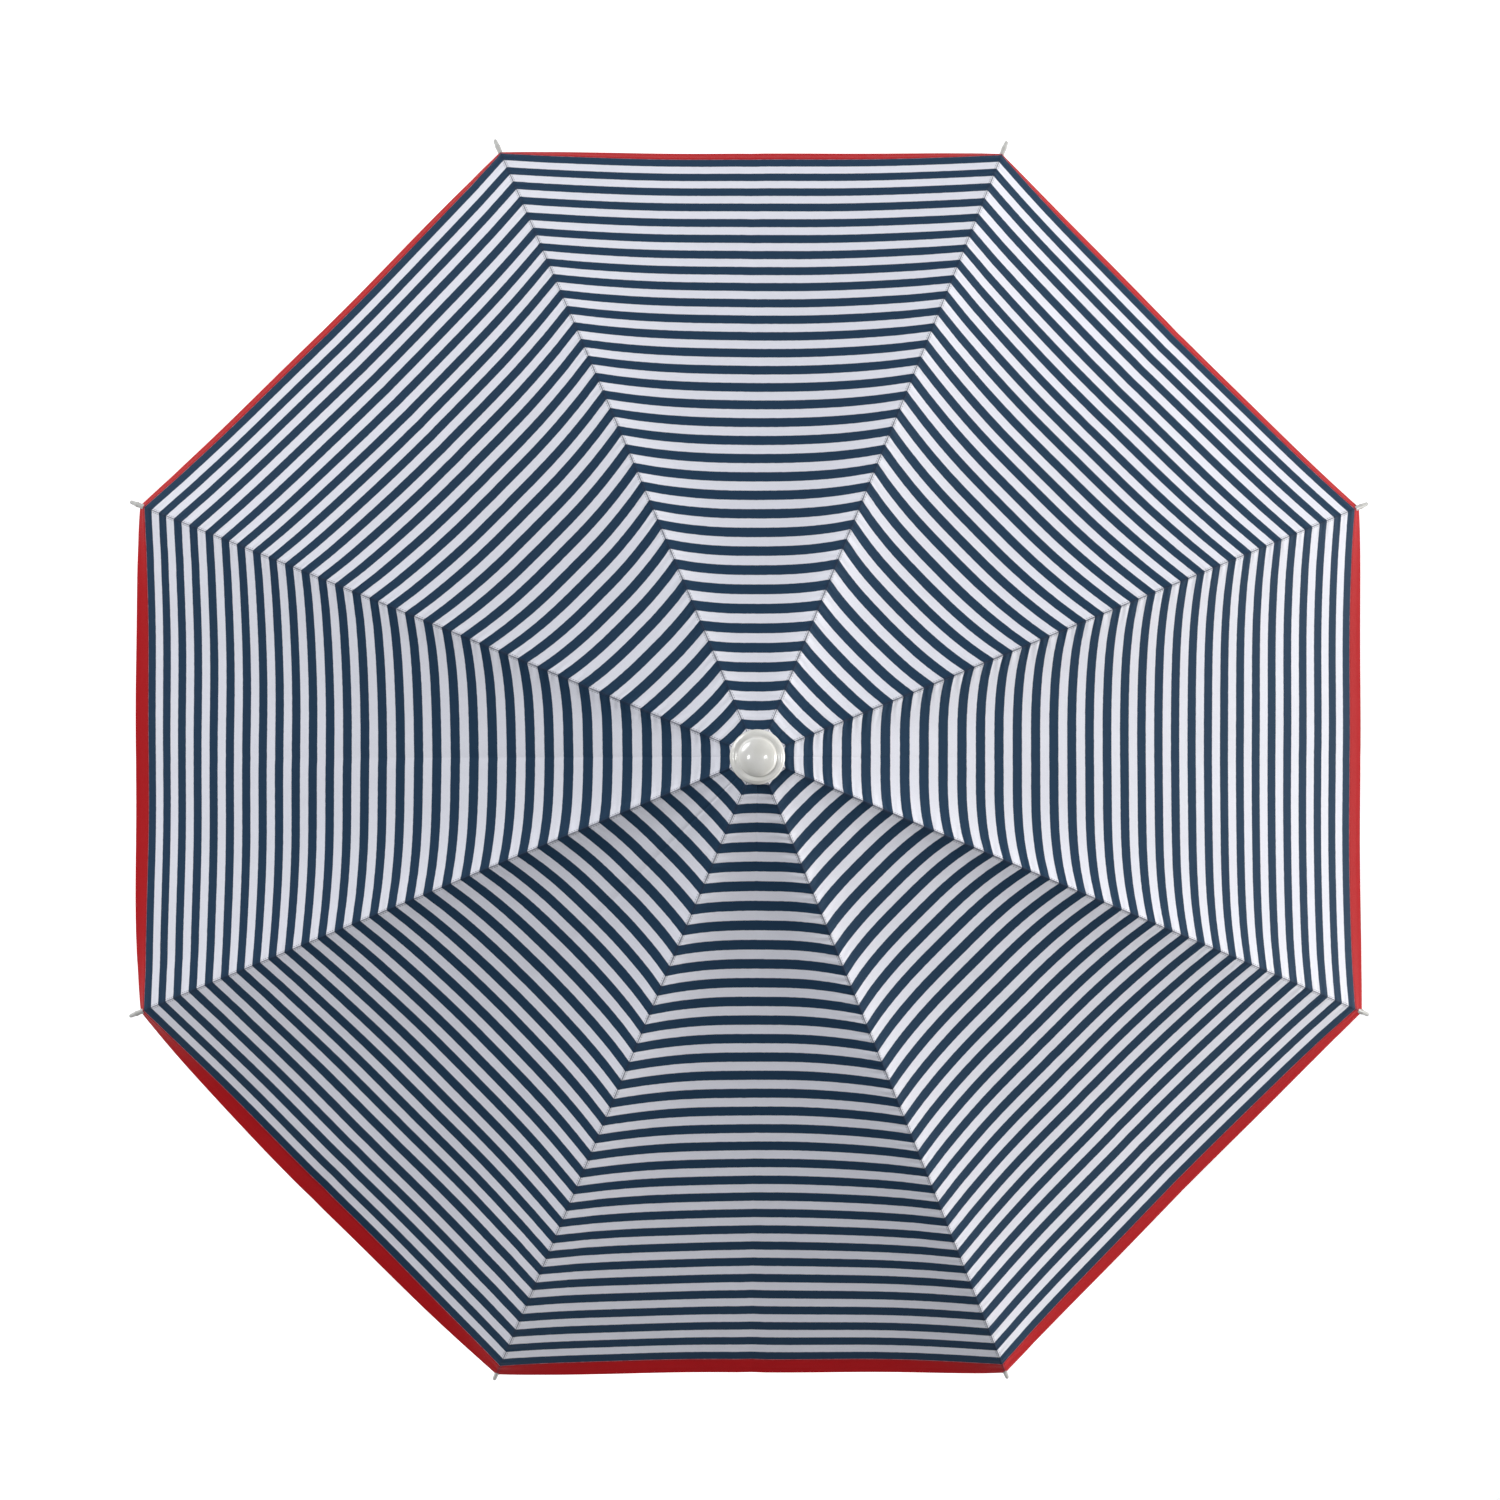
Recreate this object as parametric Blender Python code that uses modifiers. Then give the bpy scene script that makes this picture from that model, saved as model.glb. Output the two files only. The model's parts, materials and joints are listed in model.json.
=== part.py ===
"""Beach umbrella: an eight-rib canopy on a tilting, telescoping pole with a ground spike.

Metres, +Z up. The tip of the spike is at the origin and the pole stands on the Z axis.
The canopy is modelled open. Its panels face +X, the diagonals and +Y; its ribs lie between them.
"""

import math

import bmesh
import bpy
from mathutils import Matrix, Vector

# ---- clearances ---------------------------------------------------------------------------
TOUCH_GAP = 0.0003
SLIDING_GAP = 0.0004
PIN_GAP = 0.0003
SLOT_GAP = 0.0005
POLE_PLAY = 0.0019

# ---- pole tubes ---------------------------------------------------------------------------
POLE_R = 0.0125
POLE_WALL = 0.0013
LOWER_POLE_WALL = 0.0016
LOWER_POLE_R = POLE_R + POLE_PLAY + LOWER_POLE_WALL
LOWER_POLE_TOP = 0.800
MIDDLE_POLE_OVERLAP = 0.350

# ---- canopy and ribs ----------------------------------------------------------------------
RIB_COUNT = 8
CROWN_Z = 2.000
RIB_HINGE_R = 0.020
RIB_LENGTH = 0.885
RIB_STRAIGHT = 0.370
RIB_SLOPE_INNER = math.radians(15.0)
RIB_SLOPE_TIP = math.radians(39.5)
RIB_ROD_R = 0.0019
RIB_OVERHANG = 0.004
RIB_BLADE_THICKNESS = 0.0034
RIB_BLADE_LENGTH = 0.032
RIB_EYE_R = 0.0034

CLOTH_THICKNESS = 0.0008
CLOTH_LIFT = 0.0052
CLOTH_SEAM_GAP = 0.0010
CLOTH_FOLD_GAP = 0.0004
CLOTH_HOLE_R = RIB_HINGE_R + 0.0015
CLOTH_SAG_HEM = 0.0114
CLOTH_SAG_MIDDLE = 0.016
CLOTH_ROWS = 10
CLOTH_COLUMNS = 3

RIB_TIP_R = 0.0034
RIB_TIP_END_R = 0.0024
RIB_TIP_OVERLAP = 0.014
RIB_TIP_OUT = 0.013

# ---- stretchers ---------------------------------------------------------------------------
STRETCHER_LENGTH = 0.350
STRETCHER_AT = 0.360
STRETCHER_DROP = 0.0062
STRETCHER_ROD_R = 0.0018
LUG_THICKNESS = 0.0030
LUG_R = 0.0036
FORK_CHEEK = 0.0014
FORK_R = 0.0032
FORK_LENGTH = 0.014
FORK_BRIDGE_AT = 0.0105
RIVET_R = 0.0010
FOOT_THICKNESS = 0.0030
FOOT_R = 0.0034
FOOT_BLADE_LENGTH = 0.012

# ---- runner -------------------------------------------------------------------------------
RUNNER_PIVOT_R = 0.030
RUNNER_RIM_R = 0.0335
RUNNER_GALLERY_HALF = 0.0055
RUNNER_SLEEVE_R = POLE_R + 0.0060
RUNNER_SLEEVE_DOWN = 0.056
RUNNER_SLEEVE_UP = 0.012
RUNNER_BUTTON_DROP = 0.034
RUNNER_BUTTON_R = 0.0050
RUNNER_BUTTON_TRAVEL = 0.0018
RUNNER_BUTTON_PROUD = 0.0030

# ---- crown hub, wire ring and cap ---------------------------------------------------------
HUB_RIM_R = 0.0235
HUB_TOP = 0.0040
HUB_DISC_DOWN = 0.0150
HUB_SKIRT_R = POLE_R + 0.0035
HUB_SKIRT_DOWN = 0.046
HUB_SLOT_FLOOR_R = 0.0145
WIRE_R = 0.0008
POLE_BELOW_CROWN = 0.024

CAP_R = 0.0325
CAP_DOME_R = 0.0225
CAP_RIM_HEIGHT = 0.0034
CAP_RING_HEIGHT = 0.0062
CAP_HEIGHT = 0.0135
CAP_STUD_R = 0.0030
CAP_STUD_DOWN = 0.0120
CAP_ABOVE_CLOTH = 0.0004

# ---- tilt joint, clamp and spike ----------------------------------------------------------

TILT_Z = 1.060
TILT_CHEEK_R = 0.0142
TILT_CHEEK_THICKNESS = 0.0044
TILT_BLADE_THICKNESS = 0.0080
TILT_BLADE_INSET = 0.0012
TILT_PIN_R = 0.0028
TILT_PIN_HEAD_R = 0.0052
TILT_PIN_HEAD = 0.0020
TILT_FLANGE_R = POLE_R + 0.0047
TILT_FLANGE_HEIGHT = 0.008
TILT_FORK_FLOOR = 0.0165
TILT_BODY_FROM = 0.021
TILT_BODY_HEIGHT = 0.034
TILT_PLUG_LENGTH = 0.036
TILT_BUTTON_R = 0.0052
TILT_BUTTON_UP = 0.038
TILT_BUTTON_PROUD = 0.0040
TILT_BUTTON_DEPTH = 0.0120
TILT_BUTTON_THICKNESS = 0.0040

COLLAR_R = POLE_R + 0.0100
COLLAR_BELOW = 0.034
COLLAR_ABOVE = 0.042
CLAMP_Z_ABOVE = 0.022
CLAMP_BOSS_R = 0.0090
CLAMP_BOSS_OUT = COLLAR_R + 0.0085
CLAMP_SCREW_R = 0.0030
CLAMP_HEAD_R = 0.0150
CLAMP_HEAD_LENGTH = 0.0140
CLAMP_LOBES = 6
CLAMP_LOBE_R = 0.0042

SPIKE_TIP_R = 0.0030
SPIKE_SHOULDER_Z = 0.185
SPIKE_FLANGE_R = LOWER_POLE_R + 0.0018
SPIKE_FLANGE_HEIGHT = 0.012
SPIKE_PLUG = 0.060

# ---- springs behind the two buttons -------------------------------------------------------
SPRING_WIRE_R = 0.00035
SPRING_TURNS = 4
SPRING_POINTS_PER_TURN = 10

# ---- worked out from the above ------------------------------------------------------------
HALF_SECTOR = math.pi / RIB_COUNT
POLE_TOP_Z = CROWN_Z - POLE_BELOW_CROWN
MIDDLE_POLE_TOP_Z = TILT_Z - TILT_FORK_FLOOR - TILT_FLANGE_HEIGHT - TOUCH_GAP
UPPER_POLE_BOTTOM_Z = TILT_Z + TILT_BODY_FROM + TILT_BODY_HEIGHT + TOUCH_GAP
CLAMP_Z = LOWER_POLE_TOP + CLAMP_Z_ABOVE
POLE_BORE_R = POLE_R - POLE_WALL
PLUG_R = POLE_BORE_R - TOUCH_GAP
RUNNER_BORE_R = POLE_R + SLIDING_GAP

ROUND = 32
SLOTTED_ROUND = 5 * RIB_COUNT
SMALL_ROUND = 16
LINK_ROUND = 12
TINY_ROUND = 8
SMOOTH_BELOW = math.radians(35.0)
MERGE_WITHIN = 0.000001

FINISHES = {
    "cap_pearl": ((0.78, 0.77, 0.70), 0.18, 0.0),
    "canopy_cloth": ((0.20, 0.24, 0.33), 0.85, 0.0),
    "pale_plastic": ((0.74, 0.75, 0.76), 0.42, 0.0),
    "rib_steel": ((0.80, 0.81, 0.83), 0.30, 0.9),
    "hub_plastic": ((0.82, 0.82, 0.80), 0.45, 0.0),
    "pole_paint": ((0.85, 0.86, 0.87), 0.28, 0.0),
    "pin_steel": ((0.62, 0.63, 0.65), 0.28, 1.0),
    "joint_plastic": ((0.80, 0.80, 0.79), 0.40, 0.0),
    "button_plastic": ((0.05, 0.10, 0.19), 0.38, 0.0),
    "spring_steel": ((0.55, 0.56, 0.58), 0.32, 1.0),
    "spike_plastic": ((0.78, 0.78, 0.77), 0.48, 0.0),
}


def clear_scene():
    """Removes every object, so that the model starts from nothing."""
    for obj in list(bpy.data.objects):
        bpy.data.objects.remove(obj)


def new_collection(name):
    collection = bpy.data.collections.new(name)
    bpy.context.scene.collection.children.link(collection)
    return collection


def finish(name):
    """The Principled material of this name, made once."""
    found = bpy.data.materials.get(name)
    if found:
        return found
    colour, roughness, metallic = FINISHES[name]
    material = bpy.data.materials.new(name)
    material.use_nodes = True
    shader = material.node_tree.nodes["Principled BSDF"]
    shader.inputs["Base Color"].default_value = (*colour, 1.0)
    shader.inputs["Roughness"].default_value = roughness
    shader.inputs["Metallic"].default_value = metallic
    return material


# ---- simple shapes, each returned as a mesh -------------------------------------------------


def mesh_from(bm):
    mesh = bpy.data.meshes.new("shape")
    bm.to_mesh(mesh)
    bm.free()
    return mesh


def tidied(mesh):
    """The same mesh with doubled points merged and its faces turned outwards."""
    bm = bmesh.new()
    bm.from_mesh(mesh)
    bmesh.ops.remove_doubles(bm, verts=bm.verts, dist=MERGE_WITHIN)
    bmesh.ops.recalc_face_normals(bm, faces=bm.faces)
    bm.to_mesh(mesh)
    bm.free()
    return mesh


def evaluated_mesh(obj):
    """A mesh of the object with its modifiers or bevel applied. The object is removed."""
    bpy.context.view_layer.update()
    graph = bpy.context.evaluated_depsgraph_get()
    mesh = bpy.data.meshes.new_from_object(obj.evaluated_get(graph))
    bpy.data.objects.remove(obj)
    return tidied(mesh)


def box(size, centre):
    bm = bmesh.new()
    place = Matrix.Translation(centre) @ Matrix.Diagonal((*size, 1.0))
    bmesh.ops.create_cube(bm, size=1.0, matrix=place)
    return mesh_from(bm)


def cylinder(radius, length, centre, axis="Z", sides=ROUND):
    """A cylinder centred on a point, with its axis along X, Y or Z."""
    turn = {
        "X": Matrix.Rotation(math.pi / 2, 4, "Y"),
        "Y": Matrix.Rotation(-math.pi / 2, 4, "X"),
        "Z": Matrix.Identity(4),
    }[axis]
    bm = bmesh.new()
    bmesh.ops.create_cone(
        bm,
        cap_ends=True,
        segments=sides,
        radius1=radius,
        radius2=radius,
        depth=length,
        matrix=Matrix.Translation(centre) @ turn,
    )
    return mesh_from(bm)


def link(radius, thickness, start, end, sides=LINK_ROUND):
    """A flat link with round ends about two (X, Z) points, its thickness along Y."""
    reach_x = end[0] - start[0]
    reach_z = end[1] - start[1]
    bm = bmesh.new()
    bmesh.ops.create_cone(
        bm,
        cap_ends=True,
        segments=sides,
        radius1=radius,
        radius2=radius,
        depth=thickness,
        matrix=Matrix.Rotation(math.pi / 2, 4, "X") @ Matrix.Rotation(math.pi / sides, 4, "Z"),
    )
    for point in bm.verts:
        if point.co.x > 0.0:
            point.co.x += math.hypot(reach_x, reach_z)
    mesh = mesh_from(bm)
    mesh.transform(Matrix.Rotation(-math.atan2(reach_z, reach_x), 4, "Y"))
    mesh.transform(Matrix.Translation((start[0], 0.0, start[1])))
    return mesh


def turned(profile, closed=False, sides=ROUND, turn=None):
    """A profile of (radius, height) points, down its outer side, turned about Z by a Screw."""
    bm = bmesh.new()
    points = [bm.verts.new((radius, 0.0, height)) for radius, height in profile]
    pairs = list(zip(points, points[1:]))
    if closed:
        pairs.append((points[-1], points[0]))
    for first, second in pairs:
        bm.edges.new((first, second))
    obj = bpy.data.objects.new("profile", mesh_from(bm))
    bpy.context.scene.collection.objects.link(obj)
    screw = obj.modifiers.new("Turn", "SCREW")
    screw.axis = "Z"
    screw.steps = sides
    screw.render_steps = sides
    screw.use_merge_vertices = True
    screw.merge_threshold = 0.00001
    mesh = evaluated_mesh(obj)
    if turn is not None:
        mesh.transform(turn)
    return mesh


def tube(outer, inner, bottom, top, sides=ROUND):
    profile = [(outer, top), (outer, bottom), (inner, bottom), (inner, top)]
    return turned(profile, closed=True, sides=sides)


def rod(points, radius, resolution=2):
    """A round rod along the points, made from a bevelled curve with filled ends."""
    curve = bpy.data.curves.new("rod", "CURVE")
    curve.dimensions = "3D"
    curve.bevel_depth = radius
    curve.bevel_resolution = resolution
    curve.use_fill_caps = True
    spline = curve.splines.new("POLY")
    spline.points.add(len(points) - 1)
    for point, place in zip(spline.points, points):
        point.co = (*place, 1.0)
    obj = bpy.data.objects.new("rod", curve)
    bpy.context.scene.collection.objects.link(obj)
    return evaluated_mesh(obj)


def combined(base, joined=(), removed=()):
    """The base mesh with the joined shapes added and the removed ones cut away."""
    target = bpy.data.objects.new("target", base)
    bpy.context.scene.collection.objects.link(target)
    helpers = []
    steps = [("UNION", shape) for shape in joined] + [("DIFFERENCE", shape) for shape in removed]
    for operation, shape in steps:
        helper = bpy.data.objects.new("helper", shape)
        CUTTERS.objects.link(helper)
        helper.hide_render = True
        helper.display_type = "WIRE"
        helpers.append(helper)
        modifier = target.modifiers.new(operation, "BOOLEAN")
        modifier.operation = operation
        modifier.solver = "EXACT"
        modifier.object = helper
    mesh = evaluated_mesh(target)
    for helper in helpers:
        bpy.data.objects.remove(helper)
    return mesh


def add_part(name, mesh, finish_name, location=(0.0, 0.0, 0.0), rotation=(0.0, 0.0, 0.0)):
    """One named sub-part, placed by its location and rotation."""
    obj = bpy.data.objects.new(name, mesh)
    PARTS.objects.link(obj)
    obj.location = location
    obj.rotation_euler = rotation
    if not mesh.materials:
        mesh.materials.append(finish(finish_name))
    mesh.shade_smooth()
    mesh.set_sharp_from_angle(angle=SMOOTH_BELOW)
    return obj


# ---- the lines that the ribs, the cloth and the stretchers share -----------------------------


def rib_slope(along):
    """How far the rib leans below the horizontal, at a distance along it from its hinge."""
    if along <= RIB_STRAIGHT:
        return RIB_SLOPE_INNER
    share = (along - RIB_STRAIGHT) / (RIB_LENGTH - RIB_STRAIGHT)
    return RIB_SLOPE_INNER + (RIB_SLOPE_TIP - RIB_SLOPE_INNER) * share


def rib_point(along, lift=0.0):
    """(distance from the rib's hinge, height above it), lifted square to the rib."""
    inner = min(along, RIB_STRAIGHT)
    out = inner * math.cos(RIB_SLOPE_INNER)
    up = -inner * math.sin(RIB_SLOPE_INNER)
    slope = rib_slope(along)
    if along > RIB_STRAIGHT:
        bend_r = (RIB_LENGTH - RIB_STRAIGHT) / (RIB_SLOPE_TIP - RIB_SLOPE_INNER)
        out += bend_r * (math.sin(slope) - math.sin(RIB_SLOPE_INNER))
        up -= bend_r * (math.cos(RIB_SLOPE_INNER) - math.cos(slope))
    return out + lift * math.sin(slope), up + lift * math.cos(slope)


def rib_tip_start():
    """Where the rib straightens, to enter its tip."""
    return RIB_LENGTH - RIB_TIP_OVERLAP - 0.004


def clip_point():
    """The rivet that joins a stretcher to its rib, from the rib's hinge."""
    return rib_point(STRETCHER_AT, -STRETCHER_DROP)


def foot_point():
    """The foot of a stretcher with the umbrella open, from the rib's hinge."""
    out, up = clip_point()
    foot_out = RUNNER_PIVOT_R - RIB_HINGE_R
    return foot_out, up - math.sqrt(STRETCHER_LENGTH**2 - (out - foot_out) ** 2)


def rib_angle(number):
    """The direction of rib 1 to 8, seen from above, anticlockwise from +X."""
    return (2 * number - 1) * HALF_SECTOR


def at_rib(number, out, up):
    """The world place of a point given from the hinge of this rib."""
    angle = rib_angle(number)
    reach = RIB_HINGE_R + out
    return (reach * math.cos(angle), reach * math.sin(angle), CROWN_Z + up)


# ---- canopy ----------------------------------------------------------------------------------


def cloth_point(along, across):
    """A point of the cloth's underside, from the canopy's axis at hinge height.

    The gore is centred on +X. along is the distance along its ribs, and across runs from
    -1 at one seam to 1 at the other.
    """
    out, up = rib_point(along, CLOTH_LIFT)
    reach = RIB_HINGE_R + out
    hem_reach = RIB_HINGE_R + rib_point(RIB_LENGTH, CLOTH_LIFT)[0]
    share = (reach - RIB_HINGE_R) / (hem_reach - RIB_HINGE_R)
    share = min(max(share, 0.0), 1.0)
    sag = CLOTH_SAG_HEM * share + CLOTH_SAG_MIDDLE * math.sin(math.pi * share)
    drop = sag * (1.0 - across**2)
    slope = rib_slope(along)
    x = reach * math.cos(HALF_SECTOR) - drop * math.sin(slope)
    z = up - drop * math.cos(slope)
    widest = reach * math.sin(HALF_SECTOR) - CLOTH_SEAM_GAP / 2 / math.cos(HALF_SECTOR)
    narrowest = CLOTH_FOLD_GAP / 2
    y = math.copysign(narrowest + (widest - narrowest) * abs(across), across)
    return Vector((x, y, z))


def half_gore(side):
    """Half of one gore, from a rib to the gore's middle, in the frame of the rib's hinge.

    side 1 lies anticlockwise of the rib, seen from above, and side -1 clockwise of it.
    """
    first_along = (CLOTH_HOLE_R - RIB_HINGE_R) / math.cos(RIB_SLOPE_INNER)
    bm = bmesh.new()
    bmesh.ops.create_grid(bm, x_segments=CLOTH_ROWS, y_segments=CLOTH_COLUMNS, size=0.5)
    to_rib = Matrix.Translation((-RIB_HINGE_R, 0.0, 0.0)) @ Matrix.Rotation(side * HALF_SECTOR, 4, "Z")
    for point in bm.verts:
        along = first_along + (RIB_LENGTH - first_along) * (point.co.x + 0.5)
        from_seam = 0.5 + side * point.co.y
        point.co = to_rib @ cloth_point(along, -side * max(1.0 - from_seam, 1e-6))
    obj = bpy.data.objects.new("sheet", mesh_from(bm))
    bpy.context.scene.collection.objects.link(obj)
    thicken = obj.modifiers.new("Thickness", "SOLIDIFY")
    thicken.thickness = CLOTH_THICKNESS
    thicken.offset = 1.0
    return evaluated_mesh(obj)


def build_canopy():
    sides = ((1, "left"), (-1, "right"))
    for side, word in sides:
        mesh = half_gore(side)
        for number in range(1, RIB_COUNT + 1):
            place = at_rib(number, 0.0, 0.0)
            turn = (0.0, 0.0, rib_angle(number))
            add_part(f"canopy_{number}_{word}", mesh, "canopy_cloth", place, turn)


# ---- ribs, their tips and the stretchers -----------------------------------------------------


def rib_mesh():
    """A spring rod with a flat eye at its root and a lug for the stretcher, from its hinge."""
    bends = 7
    tip_start = rib_tip_start()
    bend_step = (tip_start - RIB_STRAIGHT) / bends
    stations = [RIB_BLADE_LENGTH - 0.008]
    stations += [RIB_STRAIGHT + bend_step * step for step in range(bends + 1)]
    stations.append(RIB_LENGTH + RIB_OVERHANG)
    route = []
    for along in stations:
        out, up = rib_point(along)
        route.append((out, 0.0, up))
    blade = link(RIB_EYE_R, RIB_BLADE_THICKNESS, (0.0, 0.0), rib_point(RIB_BLADE_LENGTH))
    clip_out, clip_up = clip_point()
    lug = link(LUG_R, LUG_THICKNESS, (clip_out, clip_up), rib_point(STRETCHER_AT, -RIB_ROD_R))
    wide = 2 * RIB_BLADE_THICKNESS
    wire_hole = cylinder(WIRE_R + PIN_GAP, wide, (0.0, 0.0, 0.0), "Y", TINY_ROUND)
    rivet_hole = cylinder(RIVET_R + PIN_GAP, wide, (clip_out, 0.0, clip_up), "Y", TINY_ROUND)
    return combined(rod(route, RIB_ROD_R), (blade, lug), (wire_hole, rivet_hole))


def rib_tip_mesh():
    """A moulded end that sleeves the rib, from the end of the rod, with +X outwards."""
    bore = RIB_ROD_R + TOUCH_GAP
    end = RIB_TIP_OUT
    profile = [
        (0.0, end),
        (RIB_TIP_END_R * 0.7, end - 0.0004),
        (RIB_TIP_END_R, end - 0.0016),
        (RIB_TIP_END_R, 0.003),
        (RIB_TIP_R, -0.001),
        (RIB_TIP_R, -RIB_TIP_OVERLAP),
        (bore, -RIB_TIP_OVERLAP),
        (bore, TOUCH_GAP),
        (0.0, TOUCH_GAP),
    ]
    return turned(profile, sides=12, turn=Matrix.Rotation(math.pi / 2, 4, "Y"))


def stretcher_mesh():
    """A rod with a riveted fork at its rib end and an eye at its foot, along +X from the rivet."""
    inner = LUG_THICKNESS / 2 + PIN_GAP
    outer = inner + FORK_CHEEK
    fork = link(FORK_R, 2 * outer, (0.0, 0.0), (FORK_LENGTH, 0.0))
    shaft = rod([(FORK_BRIDGE_AT + 0.001, 0.0, 0.0), (STRETCHER_LENGTH - 0.003, 0.0, 0.0)], STRETCHER_ROD_R)
    foot_start = (STRETCHER_LENGTH - FOOT_BLADE_LENGTH, 0.0)
    foot = link(FOOT_R, FOOT_THICKNESS, foot_start, (STRETCHER_LENGTH, 0.0))
    slot_back = -2 * FORK_R
    slot_length = FORK_BRIDGE_AT - slot_back
    slot_centre = (slot_back + slot_length / 2, 0.0, 0.0)
    slot = box((slot_length, 2 * inner, 4 * FORK_R), slot_centre)
    foot_hole = cylinder(WIRE_R + PIN_GAP, 4 * FOOT_THICKNESS, (STRETCHER_LENGTH, 0.0, 0.0), "Y", TINY_ROUND)
    body = combined(fork, (shaft, foot), (slot, foot_hole))
    rivet = cylinder(RIVET_R, 2 * outer + 0.0008, (0.0, 0.0, 0.0), "Y", TINY_ROUND)
    return combined(body, (rivet,))


def build_ribs():
    rib = rib_mesh()
    tip = rib_tip_mesh()
    stretcher = stretcher_mesh()
    clip_out, clip_up = clip_point()
    foot_out, foot_up = foot_point()
    stretcher_lean = math.atan2(clip_up - foot_up, foot_out - clip_out)
    end_out, end_up = rib_point(RIB_LENGTH + RIB_OVERHANG)
    start_out, start_up = rib_point(rib_tip_start())
    end_lean = math.atan2(start_up - end_up, end_out - start_out)
    for number in range(1, RIB_COUNT + 1):
        angle = rib_angle(number)
        add_part(f"rib_{number}", rib, "rib_steel", at_rib(number, 0.0, 0.0), (0.0, 0.0, angle))
        tip_place = at_rib(number, end_out, end_up)
        add_part(f"rib_tip_{number}", tip, "pale_plastic", tip_place, (0.0, end_lean, angle))
        clip_place = at_rib(number, clip_out, clip_up)
        lean = (0.0, stretcher_lean, angle)
        add_part(f"stretcher_{number}", stretcher, "rib_steel", clip_place, lean)


# ---- crown: hub, wire ring and cap -----------------------------------------------------------


def radial_slots(floor_r, rim_r, width, bottom, top):
    """One joined cutter for the slots that the ribs or stretchers stand in."""
    length = rim_r - floor_r
    slots = []
    for number in range(1, RIB_COUNT + 1):
        slot = box((length, width, top - bottom), (floor_r + length / 2, 0.0, (top + bottom) / 2))
        slot.transform(Matrix.Rotation(rib_angle(number), 4, "Z"))
        slots.append(slot)
    return slots


def build_crown():
    bore = POLE_R + TOUCH_GAP
    bore_top = -POLE_BELOW_CROWN + TOUCH_GAP
    stud_bore = CAP_STUD_R + PIN_GAP
    rim_top = HUB_TOP - (HUB_RIM_R - HUB_SLOT_FLOOR_R) * math.tan(RIB_SLOPE_INNER)
    hub_profile = [
        (HUB_SLOT_FLOOR_R, HUB_TOP),
        (HUB_RIM_R - 0.0008, rim_top),
        (HUB_RIM_R, rim_top - 0.0008),
        (HUB_RIM_R, -HUB_DISC_DOWN),
        (HUB_SKIRT_R, -HUB_DISC_DOWN - 0.003),
        (HUB_SKIRT_R, -HUB_SKIRT_DOWN),
        (bore, -HUB_SKIRT_DOWN),
        (bore, bore_top),
        (stud_bore, bore_top),
        (stud_bore, HUB_TOP),
    ]
    slot_width = RIB_BLADE_THICKNESS + 2 * SLOT_GAP
    slot_bottom = -HUB_DISC_DOWN - 0.004
    slots = radial_slots(HUB_SLOT_FLOOR_R, HUB_RIM_R + 0.004, slot_width, slot_bottom, HUB_TOP + 0.002)
    groove_half = WIRE_R + PIN_GAP
    groove = tube(RIB_HINGE_R + groove_half, RIB_HINGE_R - groove_half, -groove_half, HUB_TOP + 0.002)
    hub = combined(turned(hub_profile, closed=True, sides=SLOTTED_ROUND), (), (groove, *slots))
    add_part("crown_hub", hub, "hub_plastic", (0.0, 0.0, CROWN_Z))

    ring = []
    ring_points = 6
    for step in range(ring_points):
        angle = 2 * math.pi * step / ring_points
        ring.append((RIB_HINGE_R + WIRE_R * math.cos(angle), -WIRE_R * math.sin(angle)))
    add_part("crown_wire", turned(ring, closed=True, sides=SLOTTED_ROUND), "pin_steel", (0.0, 0.0, CROWN_Z))

    fall = math.tan(RIB_SLOPE_INNER)
    over_cloth = CLOTH_LIFT + CLOTH_THICKNESS + CAP_ABOVE_CLOTH
    seat_top = over_cloth / math.cos(RIB_SLOPE_INNER) + RIB_HINGE_R * fall
    rim_seat = seat_top - CAP_R * fall
    stud_seat = seat_top - CAP_STUD_R * fall
    profile = [(0.0, rim_seat + CAP_HEIGHT)]
    dome_steps = 4
    dome_rise = CAP_HEIGHT - CAP_RING_HEIGHT
    for step in range(1, dome_steps + 1):
        angle = math.pi / 2 * step / dome_steps
        height = rim_seat + CAP_RING_HEIGHT + dome_rise * math.cos(angle)
        profile.append((CAP_DOME_R * math.sin(angle), height))
    profile += [
        (CAP_R - 0.004, rim_seat + CAP_RIM_HEIGHT + 0.0012),
        (CAP_R - 0.001, rim_seat + CAP_RIM_HEIGHT),
        (CAP_R, rim_seat + CAP_RIM_HEIGHT * 0.6),
        (CAP_R, rim_seat),
        (CAP_STUD_R, stud_seat),
        (CAP_STUD_R, stud_seat - CAP_STUD_DOWN),
        (0.0, stud_seat - CAP_STUD_DOWN),
    ]
    add_part("crown_cap", turned(profile), "cap_pearl", (0.0, 0.0, CROWN_Z))


# ---- runner ----------------------------------------------------------------------------------


def spring_mesh(radius, length):
    """A coil spring along +X from the origin."""
    points = []
    count = SPRING_TURNS * SPRING_POINTS_PER_TURN
    for step in range(count + 1):
        angle = 2 * math.pi * step / SPRING_POINTS_PER_TURN
        x = SPRING_WIRE_R + (length - 2 * SPRING_WIRE_R) * step / count
        points.append((x, radius * math.cos(angle), radius * math.sin(angle)))
    return rod(points, SPRING_WIRE_R, resolution=1)


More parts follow.
